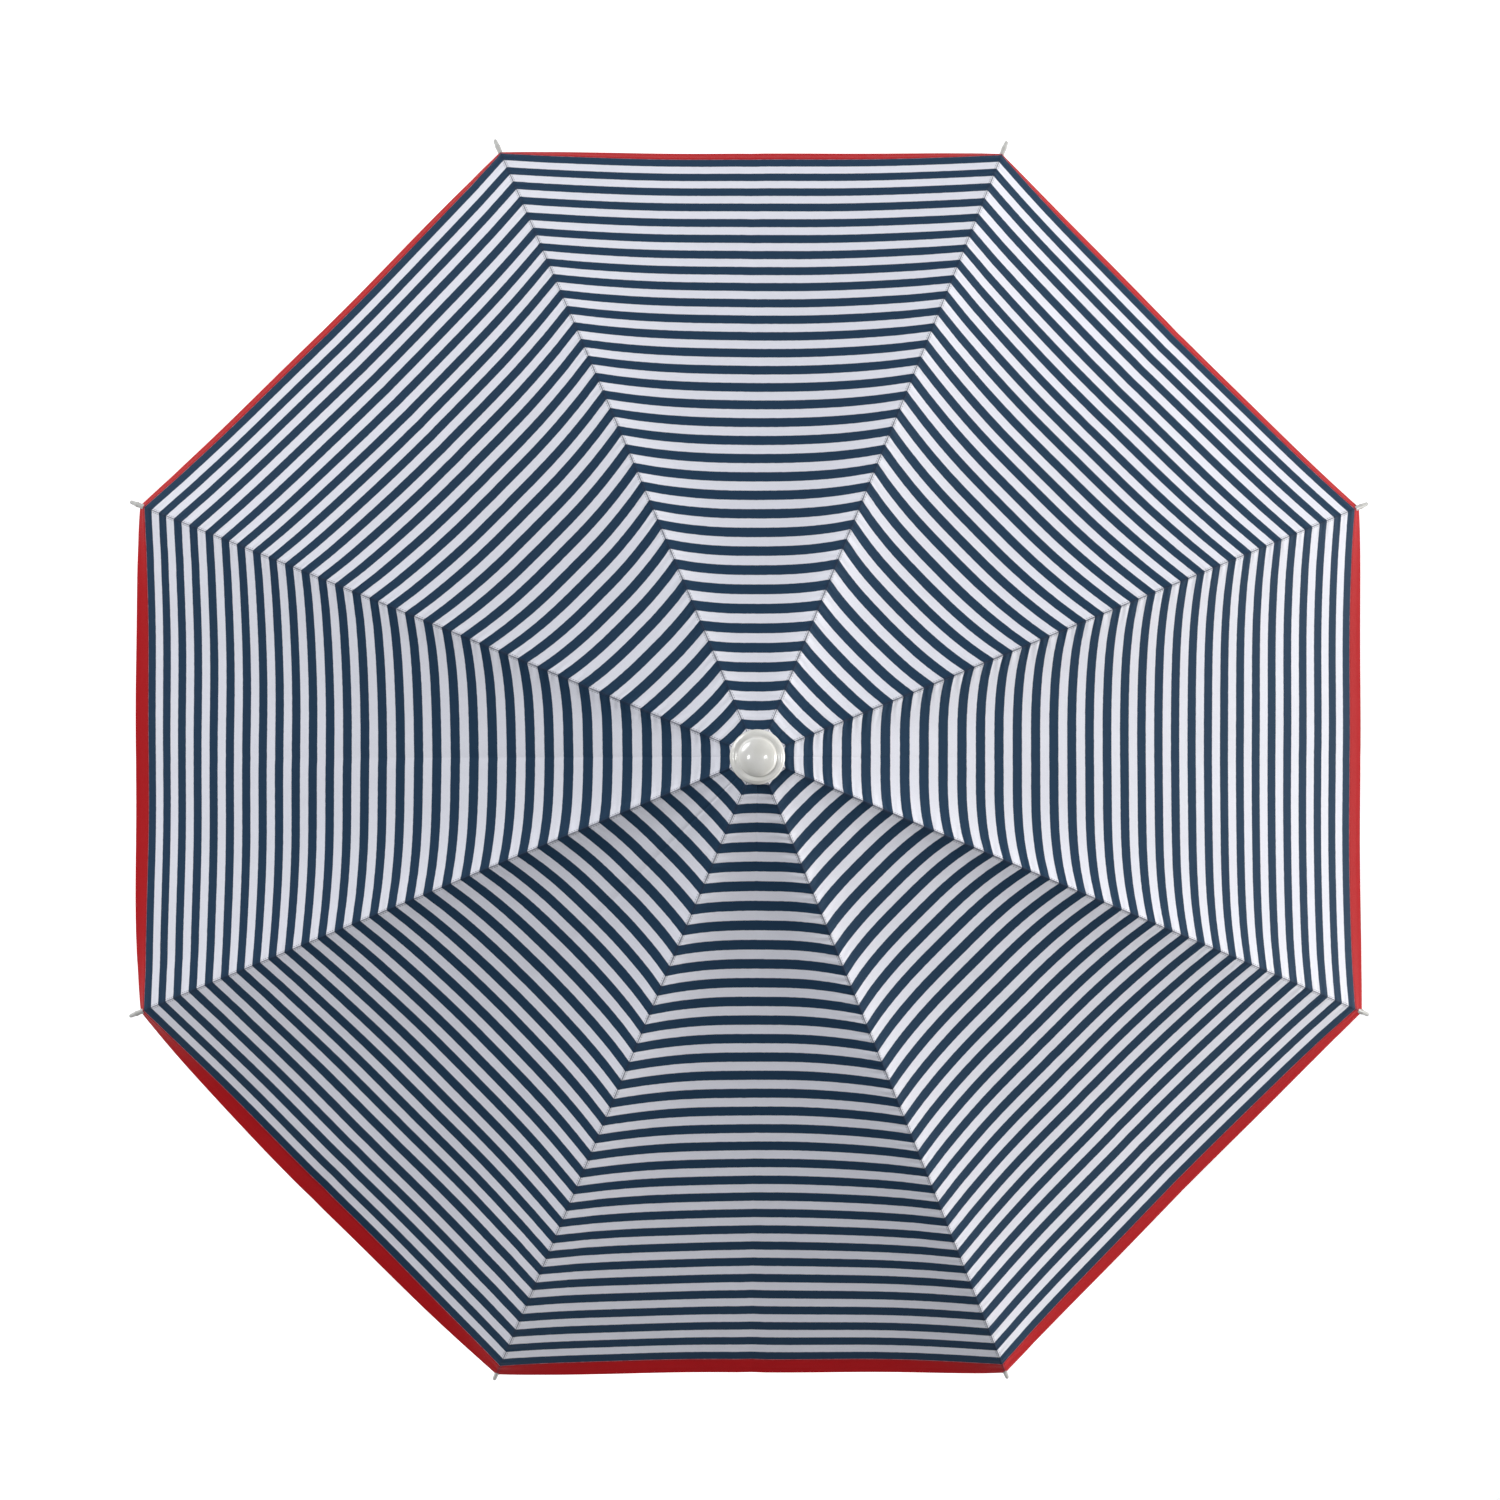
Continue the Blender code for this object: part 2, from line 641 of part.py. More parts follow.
def build_runner():
    foot_z = CROWN_Z + foot_point()[1]
    gallery = RUNNER_GALLERY_HALF
    profile = [
        (RUNNER_SLEEVE_R - 0.002, gallery + RUNNER_SLEEVE_UP),
        (RUNNER_SLEEVE_R - 0.001, gallery),
        (RUNNER_RIM_R - 0.001, gallery),
        (RUNNER_RIM_R, gallery - 0.001),
        (RUNNER_RIM_R, -gallery),
        (RUNNER_SLEEVE_R, -gallery - 0.004),
        (RUNNER_SLEEVE_R, -RUNNER_SLEEVE_DOWN),
        (RUNNER_BORE_R, -RUNNER_SLEEVE_DOWN),
        (RUNNER_BORE_R, gallery + RUNNER_SLEEVE_UP),
    ]
    slot_floor = RUNNER_PIVOT_R - FOOT_R - SLOT_GAP
    slot_width = FOOT_THICKNESS + 2 * SLOT_GAP
    slots = radial_slots(slot_floor, RUNNER_RIM_R + 0.003, slot_width, -gallery - 0.006, gallery + 0.003)
    button_bore = cylinder(
        RUNNER_BUTTON_R + PIN_GAP, 0.016, (RUNNER_SLEEVE_R, 0.0, -RUNNER_BUTTON_DROP), "X", SMALL_ROUND
    )
    runner = combined(turned(profile, closed=True, sides=SLOTTED_ROUND), (), (*slots, button_bore))
    add_part("runner", runner, "hub_plastic", (0.0, 0.0, foot_z))

    button_end = RUNNER_SLEEVE_R + RUNNER_BUTTON_PROUD
    button_start = RUNNER_BORE_R + RUNNER_BUTTON_TRAVEL + PIN_GAP
    button_profile = [
        (0.0, button_end),
        (RUNNER_BUTTON_R - 0.001, button_end),
        (RUNNER_BUTTON_R, button_end - 0.001),
        (RUNNER_BUTTON_R, button_start),
        (0.0, button_start),
    ]
    button = turned(button_profile, sides=SMALL_ROUND, turn=Matrix.Rotation(math.pi / 2, 4, "Y"))
    add_part("runner_button", button, "button_plastic", (0.0, 0.0, foot_z - RUNNER_BUTTON_DROP))


# ---- pole and tilt joint ---------------------------------------------------------------------


def build_tilt_joint():
    cheek_inner = TILT_BLADE_THICKNESS / 2 + SLOT_GAP
    cheek_outer = cheek_inner + TILT_CHEEK_THICKNESS
    floor = -TILT_FORK_FLOOR
    fork_base = floor - TILT_FLANGE_HEIGHT
    plug_end = fork_base - TILT_PLUG_LENGTH
    socket_profile = [
        (0.0, floor),
        (TILT_FLANGE_R - 0.001, floor),
        (TILT_FLANGE_R, floor - 0.001),
        (TILT_FLANGE_R, fork_base),
        (PLUG_R, fork_base),
        (PLUG_R, plug_end),
        (0.0, plug_end),
    ]
    across = Matrix.Rotation(math.pi / 2, 4, "Z")
    ear_end = (0.0, floor - TILT_FLANGE_HEIGHT * 0.7 + TILT_CHEEK_R)
    ears = []
    for sign in (-1, 1):
        ear = link(TILT_CHEEK_R, TILT_CHEEK_THICKNESS, (0.0, 0.0), ear_end, ROUND)
        ear.transform(Matrix.Translation((sign * (cheek_inner + TILT_CHEEK_THICKNESS / 2), 0.0, 0.0)) @ across)
        ears.append(ear)
    pin_hole = cylinder(TILT_PIN_R + PIN_GAP, 0.06, (0.0, 0.0, 0.0), "X", SMALL_ROUND)
    fork = combined(turned(socket_profile), ears, (pin_hole,))
    add_part("tilt_socket", fork, "joint_plastic", (0.0, 0.0, TILT_Z))

    body_top = TILT_BODY_FROM + TILT_BODY_HEIGHT
    head_profile = [
        (0.0, body_top + TILT_PLUG_LENGTH),
        (PLUG_R, body_top + TILT_PLUG_LENGTH),
        (PLUG_R, body_top),
        (TILT_FLANGE_R, body_top),
        (TILT_FLANGE_R, TILT_BODY_FROM + 0.001),
        (TILT_FLANGE_R - 0.001, TILT_BODY_FROM),
        (0.0, TILT_BODY_FROM),
    ]
    blade_r = TILT_CHEEK_R - TILT_BLADE_INSET
    blade = link(blade_r, TILT_BLADE_THICKNESS, (0.0, 0.0), (0.0, TILT_BODY_FROM + 0.001), ROUND)
    blade.transform(across)
    head_hole = cylinder(TILT_PIN_R + PIN_GAP, 0.03, (0.0, 0.0, 0.0), "X", SMALL_ROUND)
    button_hole_depth = TILT_BUTTON_DEPTH + 0.004
    button_hole = cylinder(
        TILT_BUTTON_R + PIN_GAP,
        button_hole_depth,
        (0.0, -(TILT_FLANGE_R - TILT_BUTTON_DEPTH + button_hole_depth / 2), TILT_BUTTON_UP),
        "Y",
        SMALL_ROUND,
    )
    head = combined(turned(head_profile), (blade,), (head_hole, button_hole))
    add_part("tilt_head", head, "joint_plastic", (0.0, 0.0, TILT_Z))

    head_in = cheek_outer + TOUCH_GAP
    head_out = head_in + TILT_PIN_HEAD
    pin_profile = [
        (0.0, head_out),
        (TILT_PIN_HEAD_R - 0.0008, head_out),
        (TILT_PIN_HEAD_R, head_out - 0.0008),
        (TILT_PIN_HEAD_R, head_in),
        (TILT_PIN_R, head_in),
        (TILT_PIN_R, -head_in),
        (TILT_PIN_HEAD_R, -head_in),
        (TILT_PIN_HEAD_R, -head_out + 0.0008),
        (TILT_PIN_HEAD_R - 0.0008, -head_out),
        (0.0, -head_out),
    ]
    pin = turned(pin_profile, sides=SMALL_ROUND, turn=Matrix.Rotation(math.pi / 2, 4, "Y"))
    add_part("tilt_pin", pin, "pin_steel", (0.0, 0.0, TILT_Z))

    button_out = TILT_FLANGE_R + TILT_BUTTON_PROUD
    button_in = TILT_FLANGE_R - TILT_BUTTON_THICKNESS
    button_profile = [
        (0.0, button_out),
        (TILT_BUTTON_R - 0.0012, button_out),
        (TILT_BUTTON_R, button_out - 0.0012),
        (TILT_BUTTON_R, button_in),
        (0.0, button_in),
    ]
    button = turned(button_profile, sides=SMALL_ROUND, turn=Matrix.Rotation(math.pi / 2, 4, "X"))
    button_z = TILT_Z + TILT_BUTTON_UP
    add_part("tilt_button", button, "button_plastic", (0.0, 0.0, button_z))

    spring_from = TILT_FLANGE_R - TILT_BUTTON_DEPTH + TOUCH_GAP
    spring_length = button_in - TOUCH_GAP - spring_from
    spring = spring_mesh(TILT_BUTTON_R - 0.0014, spring_length)
    place = (0.0, -spring_from, button_z)
    add_part("tilt_button_spring", spring, "spring_steel", place, (0.0, 0.0, -math.pi / 2))


def build_poles():
    bore = POLE_BORE_R
    upper = tube(POLE_R, bore, UPPER_POLE_BOTTOM_Z, POLE_TOP_Z)
    add_part("upper_pole", upper, "pole_paint")
    middle_bottom = LOWER_POLE_TOP - MIDDLE_POLE_OVERLAP
    middle = tube(POLE_R, bore, middle_bottom, MIDDLE_POLE_TOP_Z)
    add_part("middle_pole", middle, "pole_paint")
    lower_bore = LOWER_POLE_R - LOWER_POLE_WALL
    lower_bottom = SPIKE_SHOULDER_Z + TOUCH_GAP
    lower = tube(LOWER_POLE_R, lower_bore, lower_bottom, LOWER_POLE_TOP)
    add_part("lower_pole", lower, "pole_paint")

    flange_bottom = SPIKE_SHOULDER_Z - SPIKE_FLANGE_HEIGHT
    plug_r = lower_bore - TOUCH_GAP
    spike_profile = [
        (0.0, SPIKE_SHOULDER_Z + SPIKE_PLUG),
        (plug_r - 0.001, SPIKE_SHOULDER_Z + SPIKE_PLUG),
        (plug_r, SPIKE_SHOULDER_Z + SPIKE_PLUG - 0.001),
        (plug_r, SPIKE_SHOULDER_Z),
        (SPIKE_FLANGE_R - 0.001, SPIKE_SHOULDER_Z),
        (SPIKE_FLANGE_R, SPIKE_SHOULDER_Z - 0.001),
        (SPIKE_FLANGE_R, flange_bottom),
        (SPIKE_FLANGE_R - 0.003, flange_bottom - 0.004),
        (SPIKE_TIP_R + 0.001, 0.004),
        (SPIKE_TIP_R, 0.0),
        (0.0, 0.0),
    ]
    add_part("ground_spike", turned(spike_profile), "spike_plastic")


def build_clamp():
    top = LOWER_POLE_TOP
    profile = [
        (COLLAR_R - 0.002, top + COLLAR_ABOVE),
        (COLLAR_R, top + COLLAR_ABOVE - 0.002),
        (COLLAR_R, top - COLLAR_BELOW + 0.002),
        (COLLAR_R - 0.002, top - COLLAR_BELOW),
        (LOWER_POLE_R + TOUCH_GAP, top - COLLAR_BELOW),
        (LOWER_POLE_R + TOUCH_GAP, top + TOUCH_GAP),
        (POLE_R + SLIDING_GAP, top + TOUCH_GAP),
        (POLE_R + SLIDING_GAP, top + COLLAR_ABOVE),
    ]
    wall_middle = (POLE_R + COLLAR_R) / 2
    boss_length = CLAMP_BOSS_OUT - wall_middle
    boss_centre = (wall_middle + boss_length / 2, 0.0, CLAMP_Z)
    boss = cylinder(CLAMP_BOSS_R, boss_length, boss_centre, "X", 24)
    screw_hole = cylinder(CLAMP_SCREW_R + PIN_GAP, 0.06, (0.03, 0.0, CLAMP_Z), "X", SMALL_ROUND)
    pole_hole = cylinder(POLE_R + SLIDING_GAP, COLLAR_ABOVE * 3, (0.0, 0.0, CLAMP_Z))
    collar = combined(turned(profile, closed=True), (boss,), (screw_hole, pole_hole))
    add_part("clamp_collar", collar, "joint_plastic")

    head_from = CLAMP_BOSS_OUT + TOUCH_GAP
    head_to = head_from + CLAMP_HEAD_LENGTH
    screw_end = POLE_R + TOUCH_GAP
    knob_profile = [
        (0.0, head_to),
        (CLAMP_HEAD_R - 0.003, head_to),
        (CLAMP_HEAD_R, head_to - 0.002),
        (CLAMP_HEAD_R, head_from + 0.002),
        (CLAMP_HEAD_R - 0.004, head_from),
        (CLAMP_SCREW_R, head_from),
        (CLAMP_SCREW_R, screw_end + 0.001),
        (CLAMP_SCREW_R - 0.001, screw_end),
        (0.0, screw_end),
    ]
    lobes = []
    for step in range(CLAMP_LOBES):
        angle = 2 * math.pi * (step + 0.5) / CLAMP_LOBES
        reach = CLAMP_HEAD_R + CLAMP_LOBE_R * 0.45
        centre = (head_from + CLAMP_HEAD_LENGTH / 2, reach * math.cos(angle), reach * math.sin(angle))
        lobes.append(cylinder(CLAMP_LOBE_R, CLAMP_HEAD_LENGTH * 2, centre, "X", 12))
    knob = combined(turned(knob_profile, sides=24, turn=Matrix.Rotation(math.pi / 2, 4, "Y")), (), lobes)
    add_part("clamp_knob", knob, "button_plastic", (0.0, 0.0, CLAMP_Z))


clear_scene()
PARTS = new_collection("beach_umbrella")
CUTTERS = new_collection("cutters")
build_canopy()
build_ribs()
build_crown()
build_runner()
build_tilt_joint()
build_poles()
build_clamp()
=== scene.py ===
"""Looks of the beach umbrella: its striped cloth, cap, ribs, mast and studio."""

import json
import logging
import math
from dataclasses import dataclass, field
from enum import Enum
from typing import Any, Sequence

import bpy
from mathutils import Matrix, Vector


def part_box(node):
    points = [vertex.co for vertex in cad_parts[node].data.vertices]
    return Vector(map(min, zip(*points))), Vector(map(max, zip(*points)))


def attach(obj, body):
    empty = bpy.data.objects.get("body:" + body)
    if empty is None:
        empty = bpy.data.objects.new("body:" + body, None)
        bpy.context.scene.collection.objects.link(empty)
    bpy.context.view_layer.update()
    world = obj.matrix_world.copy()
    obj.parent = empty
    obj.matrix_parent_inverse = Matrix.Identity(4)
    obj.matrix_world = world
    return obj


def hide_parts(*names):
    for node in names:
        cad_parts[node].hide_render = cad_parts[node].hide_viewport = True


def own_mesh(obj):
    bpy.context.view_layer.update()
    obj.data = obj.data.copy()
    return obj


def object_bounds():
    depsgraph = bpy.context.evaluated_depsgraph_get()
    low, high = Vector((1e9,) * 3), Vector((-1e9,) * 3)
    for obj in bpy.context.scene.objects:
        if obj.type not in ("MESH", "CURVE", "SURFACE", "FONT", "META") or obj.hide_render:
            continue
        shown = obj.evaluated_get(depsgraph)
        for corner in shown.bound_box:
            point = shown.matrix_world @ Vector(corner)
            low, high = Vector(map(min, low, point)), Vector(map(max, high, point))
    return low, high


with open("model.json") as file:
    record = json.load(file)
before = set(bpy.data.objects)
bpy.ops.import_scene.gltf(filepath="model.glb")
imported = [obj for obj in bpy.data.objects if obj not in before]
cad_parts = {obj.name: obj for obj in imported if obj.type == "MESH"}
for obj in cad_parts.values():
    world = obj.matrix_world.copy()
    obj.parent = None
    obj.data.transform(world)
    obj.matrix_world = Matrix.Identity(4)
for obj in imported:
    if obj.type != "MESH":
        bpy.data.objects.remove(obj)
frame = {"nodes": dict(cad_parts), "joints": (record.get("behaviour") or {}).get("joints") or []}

logging.basicConfig(level=logging.INFO, format="%(message)s")
log = logging.getLogger("umbrella")

Colour = tuple[float, float, float]
Point = tuple[float, float, float]
Knot = tuple[float, float]
CAD_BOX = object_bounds()
MERGE = 0.000004
SPRUNG_KEEP = 0.08


# ---- shader graphs ---------------------------------------------------------------------------


class Channel:
    """One output socket of a shader graph, which takes part in sums as a number does."""

    def __init__(self, graph: "ShaderGraph", socket: bpy.types.NodeSocket) -> None:
        """Keeps the graph and the socket."""
        self.graph = graph
        self.socket = socket

    def _math(self, operation: str, *values: Any) -> "Channel":
        """Adds one Math node.

        Args:
            operation: the Math node's operation.
            values: its inputs in order, as numbers or channels.

        Returns:
            The node's output.
        """
        return self.graph.node("ShaderNodeMath", {"operation": operation}, dict(enumerate(values)))

    def __add__(self, other: Any) -> "Channel":
        """Returns the sum."""
        return self._math("ADD", self, other)

    __radd__ = __add__

    def __sub__(self, other: Any) -> "Channel":
        """Returns the difference."""
        return self._math("SUBTRACT", self, other)

    def __rsub__(self, other: Any) -> "Channel":
        """Returns the difference with this channel taken away."""
        return self._math("SUBTRACT", other, self)

    def __mul__(self, other: Any) -> "Channel":
        """Returns the product."""
        return self._math("MULTIPLY", self, other)

    __rmul__ = __mul__

    def __truediv__(self, other: Any) -> "Channel":
        """Returns the quotient."""
        return self._math("DIVIDE", self, other)

    def __rtruediv__(self, other: Any) -> "Channel":
        """Returns the quotient of a number and this channel."""
        return self._math("DIVIDE", other, self)

    def fraction(self) -> "Channel":
        """Returns the part after the decimal point."""
        return self._math("FRACT", self)

    def sine(self) -> "Channel":
        """Returns the sine, in radians."""
        return self._math("SINE", self)

    def size(self) -> "Channel":
        """Returns the value without its sign."""
        return self._math("ABSOLUTE", self)

    def step(self, low: float, high: float) -> "Channel":
        """A smooth step.

        Args:
            low: where the step is still 0.
            high: where the step has reached 1, which may be below low.

        Returns:
            0 to 1.
        """
        if low < high:
            values = {"Value": self, "From Min": low, "From Max": high, "To Min": 0.0, "To Max": 1.0}
        else:
            values = {"Value": self, "From Min": high, "From Max": low, "To Min": 1.0, "To Max": 0.0}
        settings = {"interpolation_type": "SMOOTHSTEP", "clamp": True}
        return self.graph.node("ShaderNodeMapRange", settings, values)


class ShaderGraph:
    """The node tree of one material, with the Principled shader already in it."""

    def __init__(self, name: str) -> None:
        """Makes an empty material.

        Args:
            name: the material's name.
        """
        self.material = bpy.data.materials.new(name)
        self.material.use_nodes = True
        self.tree = self.material.node_tree
        self.tree.nodes.clear()
        out = self.tree.nodes.new("ShaderNodeOutputMaterial")
        self.shader = self.tree.nodes.new("ShaderNodeBsdfPrincipled")
        self.tree.links.new(self.shader.outputs[0], out.inputs["Surface"])

    def node(self, kind: str, settings: dict[str, Any], inputs: dict[Any, Any], output: Any = 0) -> Channel:
        """Adds a node.

        Args:
            kind: the node's type.
            settings: its properties, which are set first.
            inputs: socket name or number to a value or a channel.
            output: the name or number of the output wanted.

        Returns:
            That output.
        """
        made = self.tree.nodes.new(kind)
        for key, value in settings.items():
            setattr(made, key, value)
        for key, value in inputs.items():
            self.feed(made.inputs[key], value)
        return Channel(self, made.outputs[output])

    def feed(self, socket: bpy.types.NodeSocket, value: Any) -> None:
        """Links or sets one input socket."""
        if isinstance(value, Channel):
            self.tree.links.new(value.socket, socket)
        else:
            socket.default_value = value

    def set(self, **values: Any) -> None:
        """Sets the shader's sockets, each named with underscores for spaces."""
        for key, value in values.items():
            self.feed(self.shader.inputs[key.replace("_", " ")], value)

    def place(self) -> Channel:
        """Returns the object coordinates, in metres."""
        return self.node("ShaderNodeTexCoord", {}, {}, "Object")

    def cloth(self, layer: str) -> tuple[Channel, Channel]:
        """Returns the two numbers of a UV map, in metres."""
        both = self.node("ShaderNodeUVMap", {"uv_map": layer}, {})
        split = self.tree.nodes.new("ShaderNodeSeparateXYZ")
        self.feed(split.inputs[0], both)
        return Channel(self, split.outputs[0]), Channel(self, split.outputs[1])

    def noise(self, where: Channel, scale: float, detail: float = 2.0, rough: float = 0.5) -> Channel:
        """Returns a noise value near 0.5, whose grain is 1/scale metres."""
        inputs = {"Vector": where, "Scale": scale, "Detail": detail, "Roughness": rough}
        return self.node("ShaderNodeTexNoise", {}, inputs)

    def blend(self, share: Any, first: Any, second: Any) -> Channel:
        """Mixes two colours.

        Args:
            share: how much of the second, 0 to 1.
            first: a colour or a channel.
            second: a colour or a channel.

        Returns:
            The mixed colour.
        """
        inputs = {0: share, 6: self.rgba(first), 7: self.rgba(second)}
        return self.node("ShaderNodeMix", {"data_type": "RGBA", "clamp_factor": True}, inputs, 2)

    def shade(self, colour: Any, factor: Channel) -> Channel:
        """Returns a colour multiplied by a value."""
        return self.node("ShaderNodeVectorMath", {"operation": "SCALE"}, {"Vector": colour, "Scale": factor})

    def bump(self, height: Channel, distance: float) -> Channel:
        """Returns a normal bent by a height map whose 0 to 1 is distance metres."""
        return self.node("ShaderNodeBump", {}, {"Height": height, "Distance": distance, "Strength": 1.0})

    @staticmethod
    def rgba(value: Any) -> Any:
        """Returns a colour with an alpha, or a channel as it is."""
        return value if isinstance(value, Channel) else (*value, 1.0)


# ---- finishes --------------------------------------------------------------------------------


@dataclass(frozen=True)
class StripedCloth:
    """Woven polyester with navy and white stripes along the hem, and a red edge band."""

    white: Colour = (0.775, 0.785, 0.855)
    navy: Colour = (0.0092, 0.0370, 0.0800)
    red: Colour = (0.44, 0.0015, 0.005)
    thread: Colour = (0.012, 0.022, 0.050)
    red_thread: Colour = (0.20, 0.004, 0.008)
    pitch: float = 0.0241
    navy_width: float = 0.0124
    band: float = 0.0188
    weave: float = 0.00075
    seam_width: float = 0.0008
    print_edge: float = 0.00035
    band_edge: float = 0.0003
    stitch_length: float = 0.0034
    stitch_in: float = 0.0021
    hem_stitch_length: float = 0.0036
    hem_stitch_in: float = 0.0016
    gather_length: float = 0.0105
    gather_reach: float = 0.030
    relief: float = 0.0011

    def material(self, name: str) -> bpy.types.Material:
        """Builds the cloth.

        Args:
            name: the material's name.

        Returns:
            The material.
        """
        g = ShaderGraph(name)
        across, from_hem = g.cloth("stripes")
        from_seam, along = g.cloth("seam")
        place = g.place()
        edge = self.print_edge / self.pitch
        turn = 2.0 * math.pi
        ripple = (g.noise(place, 160.0, 3.0) - 0.5) * 0.0007
        stripe = ((from_hem + ripple - self.band) / self.pitch).fraction()
        share = self.navy_width / self.pitch
        rising = stripe.step(share - edge, share + edge)
        falling = stripe.step(1.0 - edge, 1.0 + edge)
        white_mask = rising - falling * 0.5
        first = stripe.step(0.0, edge)
        white_mask = white_mask + (1.0 - first) * 0.5
        cloth = g.blend(white_mask, self.navy, self.white)
        band_mask = from_hem.step(self.band + self.band_edge, self.band - self.band_edge)
        cloth = g.blend(band_mask, cloth, self.red)
        warp = (across * (turn / self.weave)).sine()
        weft = (along * (turn / self.weave)).sine()
        weave = warp * weft
        slub = g.noise(place, 900.0, 2.0)
        cloud = g.noise(place, 7.0, 3.0)
        cloth_tone = 0.94 + 0.05 * weave + 0.10 * (slub - 0.5) + 0.10 * (cloud - 0.5)
        cloth = g.shade(cloth, cloth_tone + 0.03)
        dash = ((along / self.stitch_length).fraction() - 0.5).size().step(0.36, 0.30)
        stitch = (from_seam - self.stitch_in).size().step(0.00055, 0.0003) * dash
        hem_dash = ((across / self.hem_stitch_length).fraction() - 0.5).size().step(0.38, 0.32)
        hem_stitch = (from_hem - self.band + self.hem_stitch_in).size().step(0.00045, 0.00025) * hem_dash
        seam = from_seam.step(self.seam_width, self.seam_width * 0.45)
        cloth = g.blend(seam * 0.62, cloth, self.thread)
        cloth = g.blend(stitch * 0.55, cloth, self.thread)
        cloth = g.blend(hem_stitch * 0.6, cloth, self.red_thread)
        near = from_seam.step(self.gather_reach, 0.002)
        pucker = (along * (turn / self.gather_length) + 5.0 * g.noise(place, 40.0, 1.0)).sine() * near
        folds = g.noise(place, 26.0, 2.0, 0.45)
        height = pucker * 0.30 + folds * 0.9 + weave * 0.035
        height = height + stitch * -0.25 + hem_stitch * -0.2 + band_mask * 0.30
        rough = 0.74 + 0.10 * (slub - 0.5) - 0.06 * white_mask
        g.set(Base_Color=cloth, Roughness=rough, Normal=g.bump(height, self.relief))
        g.set(Specular_IOR_Level=0.22)
        return g.material


@dataclass(frozen=True)
class Pearl:
    """Glossy ivory plastic with a pearl coat."""

    colour: Colour = (0.76, 0.755, 0.72)
    deep: Colour = (0.66, 0.65, 0.59)

    def material(self, name: str) -> bpy.types.Material:
        """Returns the pearl plastic, named name."""
        g = ShaderGraph(name)
        place = g.place()
        cloud = g.noise(place, 55.0, 3.0)
        grain = g.noise(place, 1800.0, 2.0)
        colour = g.blend(cloud.step(0.35, 0.75) * 0.5, self.colour, self.deep)
        g.set(Base_Color=colour, Roughness=0.16 + 0.10 * cloud, Normal=g.bump(grain, 0.00003))
        g.set(Specular_IOR_Level=0.55, Coat_Weight=0.8, Coat_Roughness=0.06)
        return g.material


@dataclass(frozen=True)
class MouldedPlastic:
    """Moulded plastic with a fine grain and rubbed edges."""

    colour: Colour
    roughness: float = 0.42
    grain: float = 2600.0
    scuffs: float = 0.12

    def material(self, name: str) -> bpy.types.Material:
        """Returns the plastic, named name."""
        g = ShaderGraph(name)
        place = g.place()
        grain = g.noise(place, self.grain, 2.0)
        marks = g.noise(place, 90.0, 4.0, 0.65)
        darker: Colour = tuple(0.80 * part for part in self.colour)
        colour = g.blend(marks.step(0.50, 0.85) * self.scuffs * 4.0, self.colour, darker)
        g.set(Base_Color=colour, Roughness=self.roughness + 0.22 * (marks - 0.5), Normal=g.bump(grain, 0.00005))
        g.set(Specular_IOR_Level=0.45)
        return g.material


@dataclass(frozen=True)
class Steel:
    """Bare or zinc-plated steel, drawn along its length."""

    colour: Colour = (0.70, 0.71, 0.73)
    roughness: float = 0.30

    def material(self, name: str) -> bpy.types.Material:
        """Returns the metal, named name."""
        g = ShaderGraph(name)
        place = g.place()
        spangle = g.noise(place, 420.0, 3.0, 0.6)
        stain = g.noise(place, 30.0, 4.0, 0.6)
        darker: Colour = tuple(0.72 * part for part in self.colour)
        colour = g.blend(stain.step(0.45, 0.80) * 0.6, self.colour, darker)
        rough = self.roughness + 0.25 * (spangle - 0.5)
        g.set(Base_Color=colour, Roughness=rough, Normal=g.bump(spangle, 0.00004))
        g.set(Metallic=0.92)
        return g.material


@dataclass(frozen=True)
class PolePaint:
    """Gloss paint on a steel tube, with fine orange peel and a few rubbed streaks."""

    colour: Colour = (0.58, 0.595, 0.61)
    rubbed: Colour = (0.42, 0.43, 0.45)

    def material(self, name: str) -> bpy.types.Material:
        """Returns the paint, named name."""
        g = ShaderGraph(name)
        place = g.place()
        long_way = g.node("ShaderNodeMapping", {}, {"Vector": place, "Scale": (140.0, 140.0, 6.0)})
        streak = g.noise(long_way, 1.0, 4.0, 0.6)
        peel = g.noise(place, 700.0, 2.0)
        colour = g.blend(streak.step(0.56, 0.78) * 0.35, self.colour, self.rubbed)
        g.set(Base_Color=colour, Roughness=0.24 + 0.25 * (streak - 0.4), Normal=g.bump(peel, 0.00004))
        g.set(Specular_IOR_Level=0.5, Coat_Weight=0.3, Coat_Roughness=0.12)
        return g.material


class Side(Enum):
    """Which way a half gore lies from its rib, seen from above."""

    LEFT = 1
    RIGHT = -1

    @property
    def word(self) -> str:
        """The word in the names of the half gore."""
        return self.name.lower()


# ---- modelling -------------------------------------------------------------------------------


def only(obj: bpy.types.Object) -> None:
    """Selects one object and makes it the active one."""
    bpy.ops.object.select_all(action="DESELECT")
    obj.select_set(True)
    bpy.context.view_layer.objects.active = obj


def linked(name: str, data: bpy.types.ID) -> bpy.types.Object:
    """Returns a new object that shows a mesh, curve, lamp or camera."""
    obj = bpy.data.objects.new(name, data)
    bpy.context.scene.collection.objects.link(obj)
    return obj


def applied(obj: bpy.types.Object, kind: str, **settings: Any) -> None:
    """Adds a modifier to an object and applies it.

    Args:
        obj: the object.
        kind: the modifier's type.
        settings: its properties.
    """
    only(obj)
    modifier = obj.modifiers.new(kind.title(), kind)
    for key, value in settings.items():
        setattr(modifier, key, value)
    bpy.ops.object.modifier_apply(modifier=modifier.name)


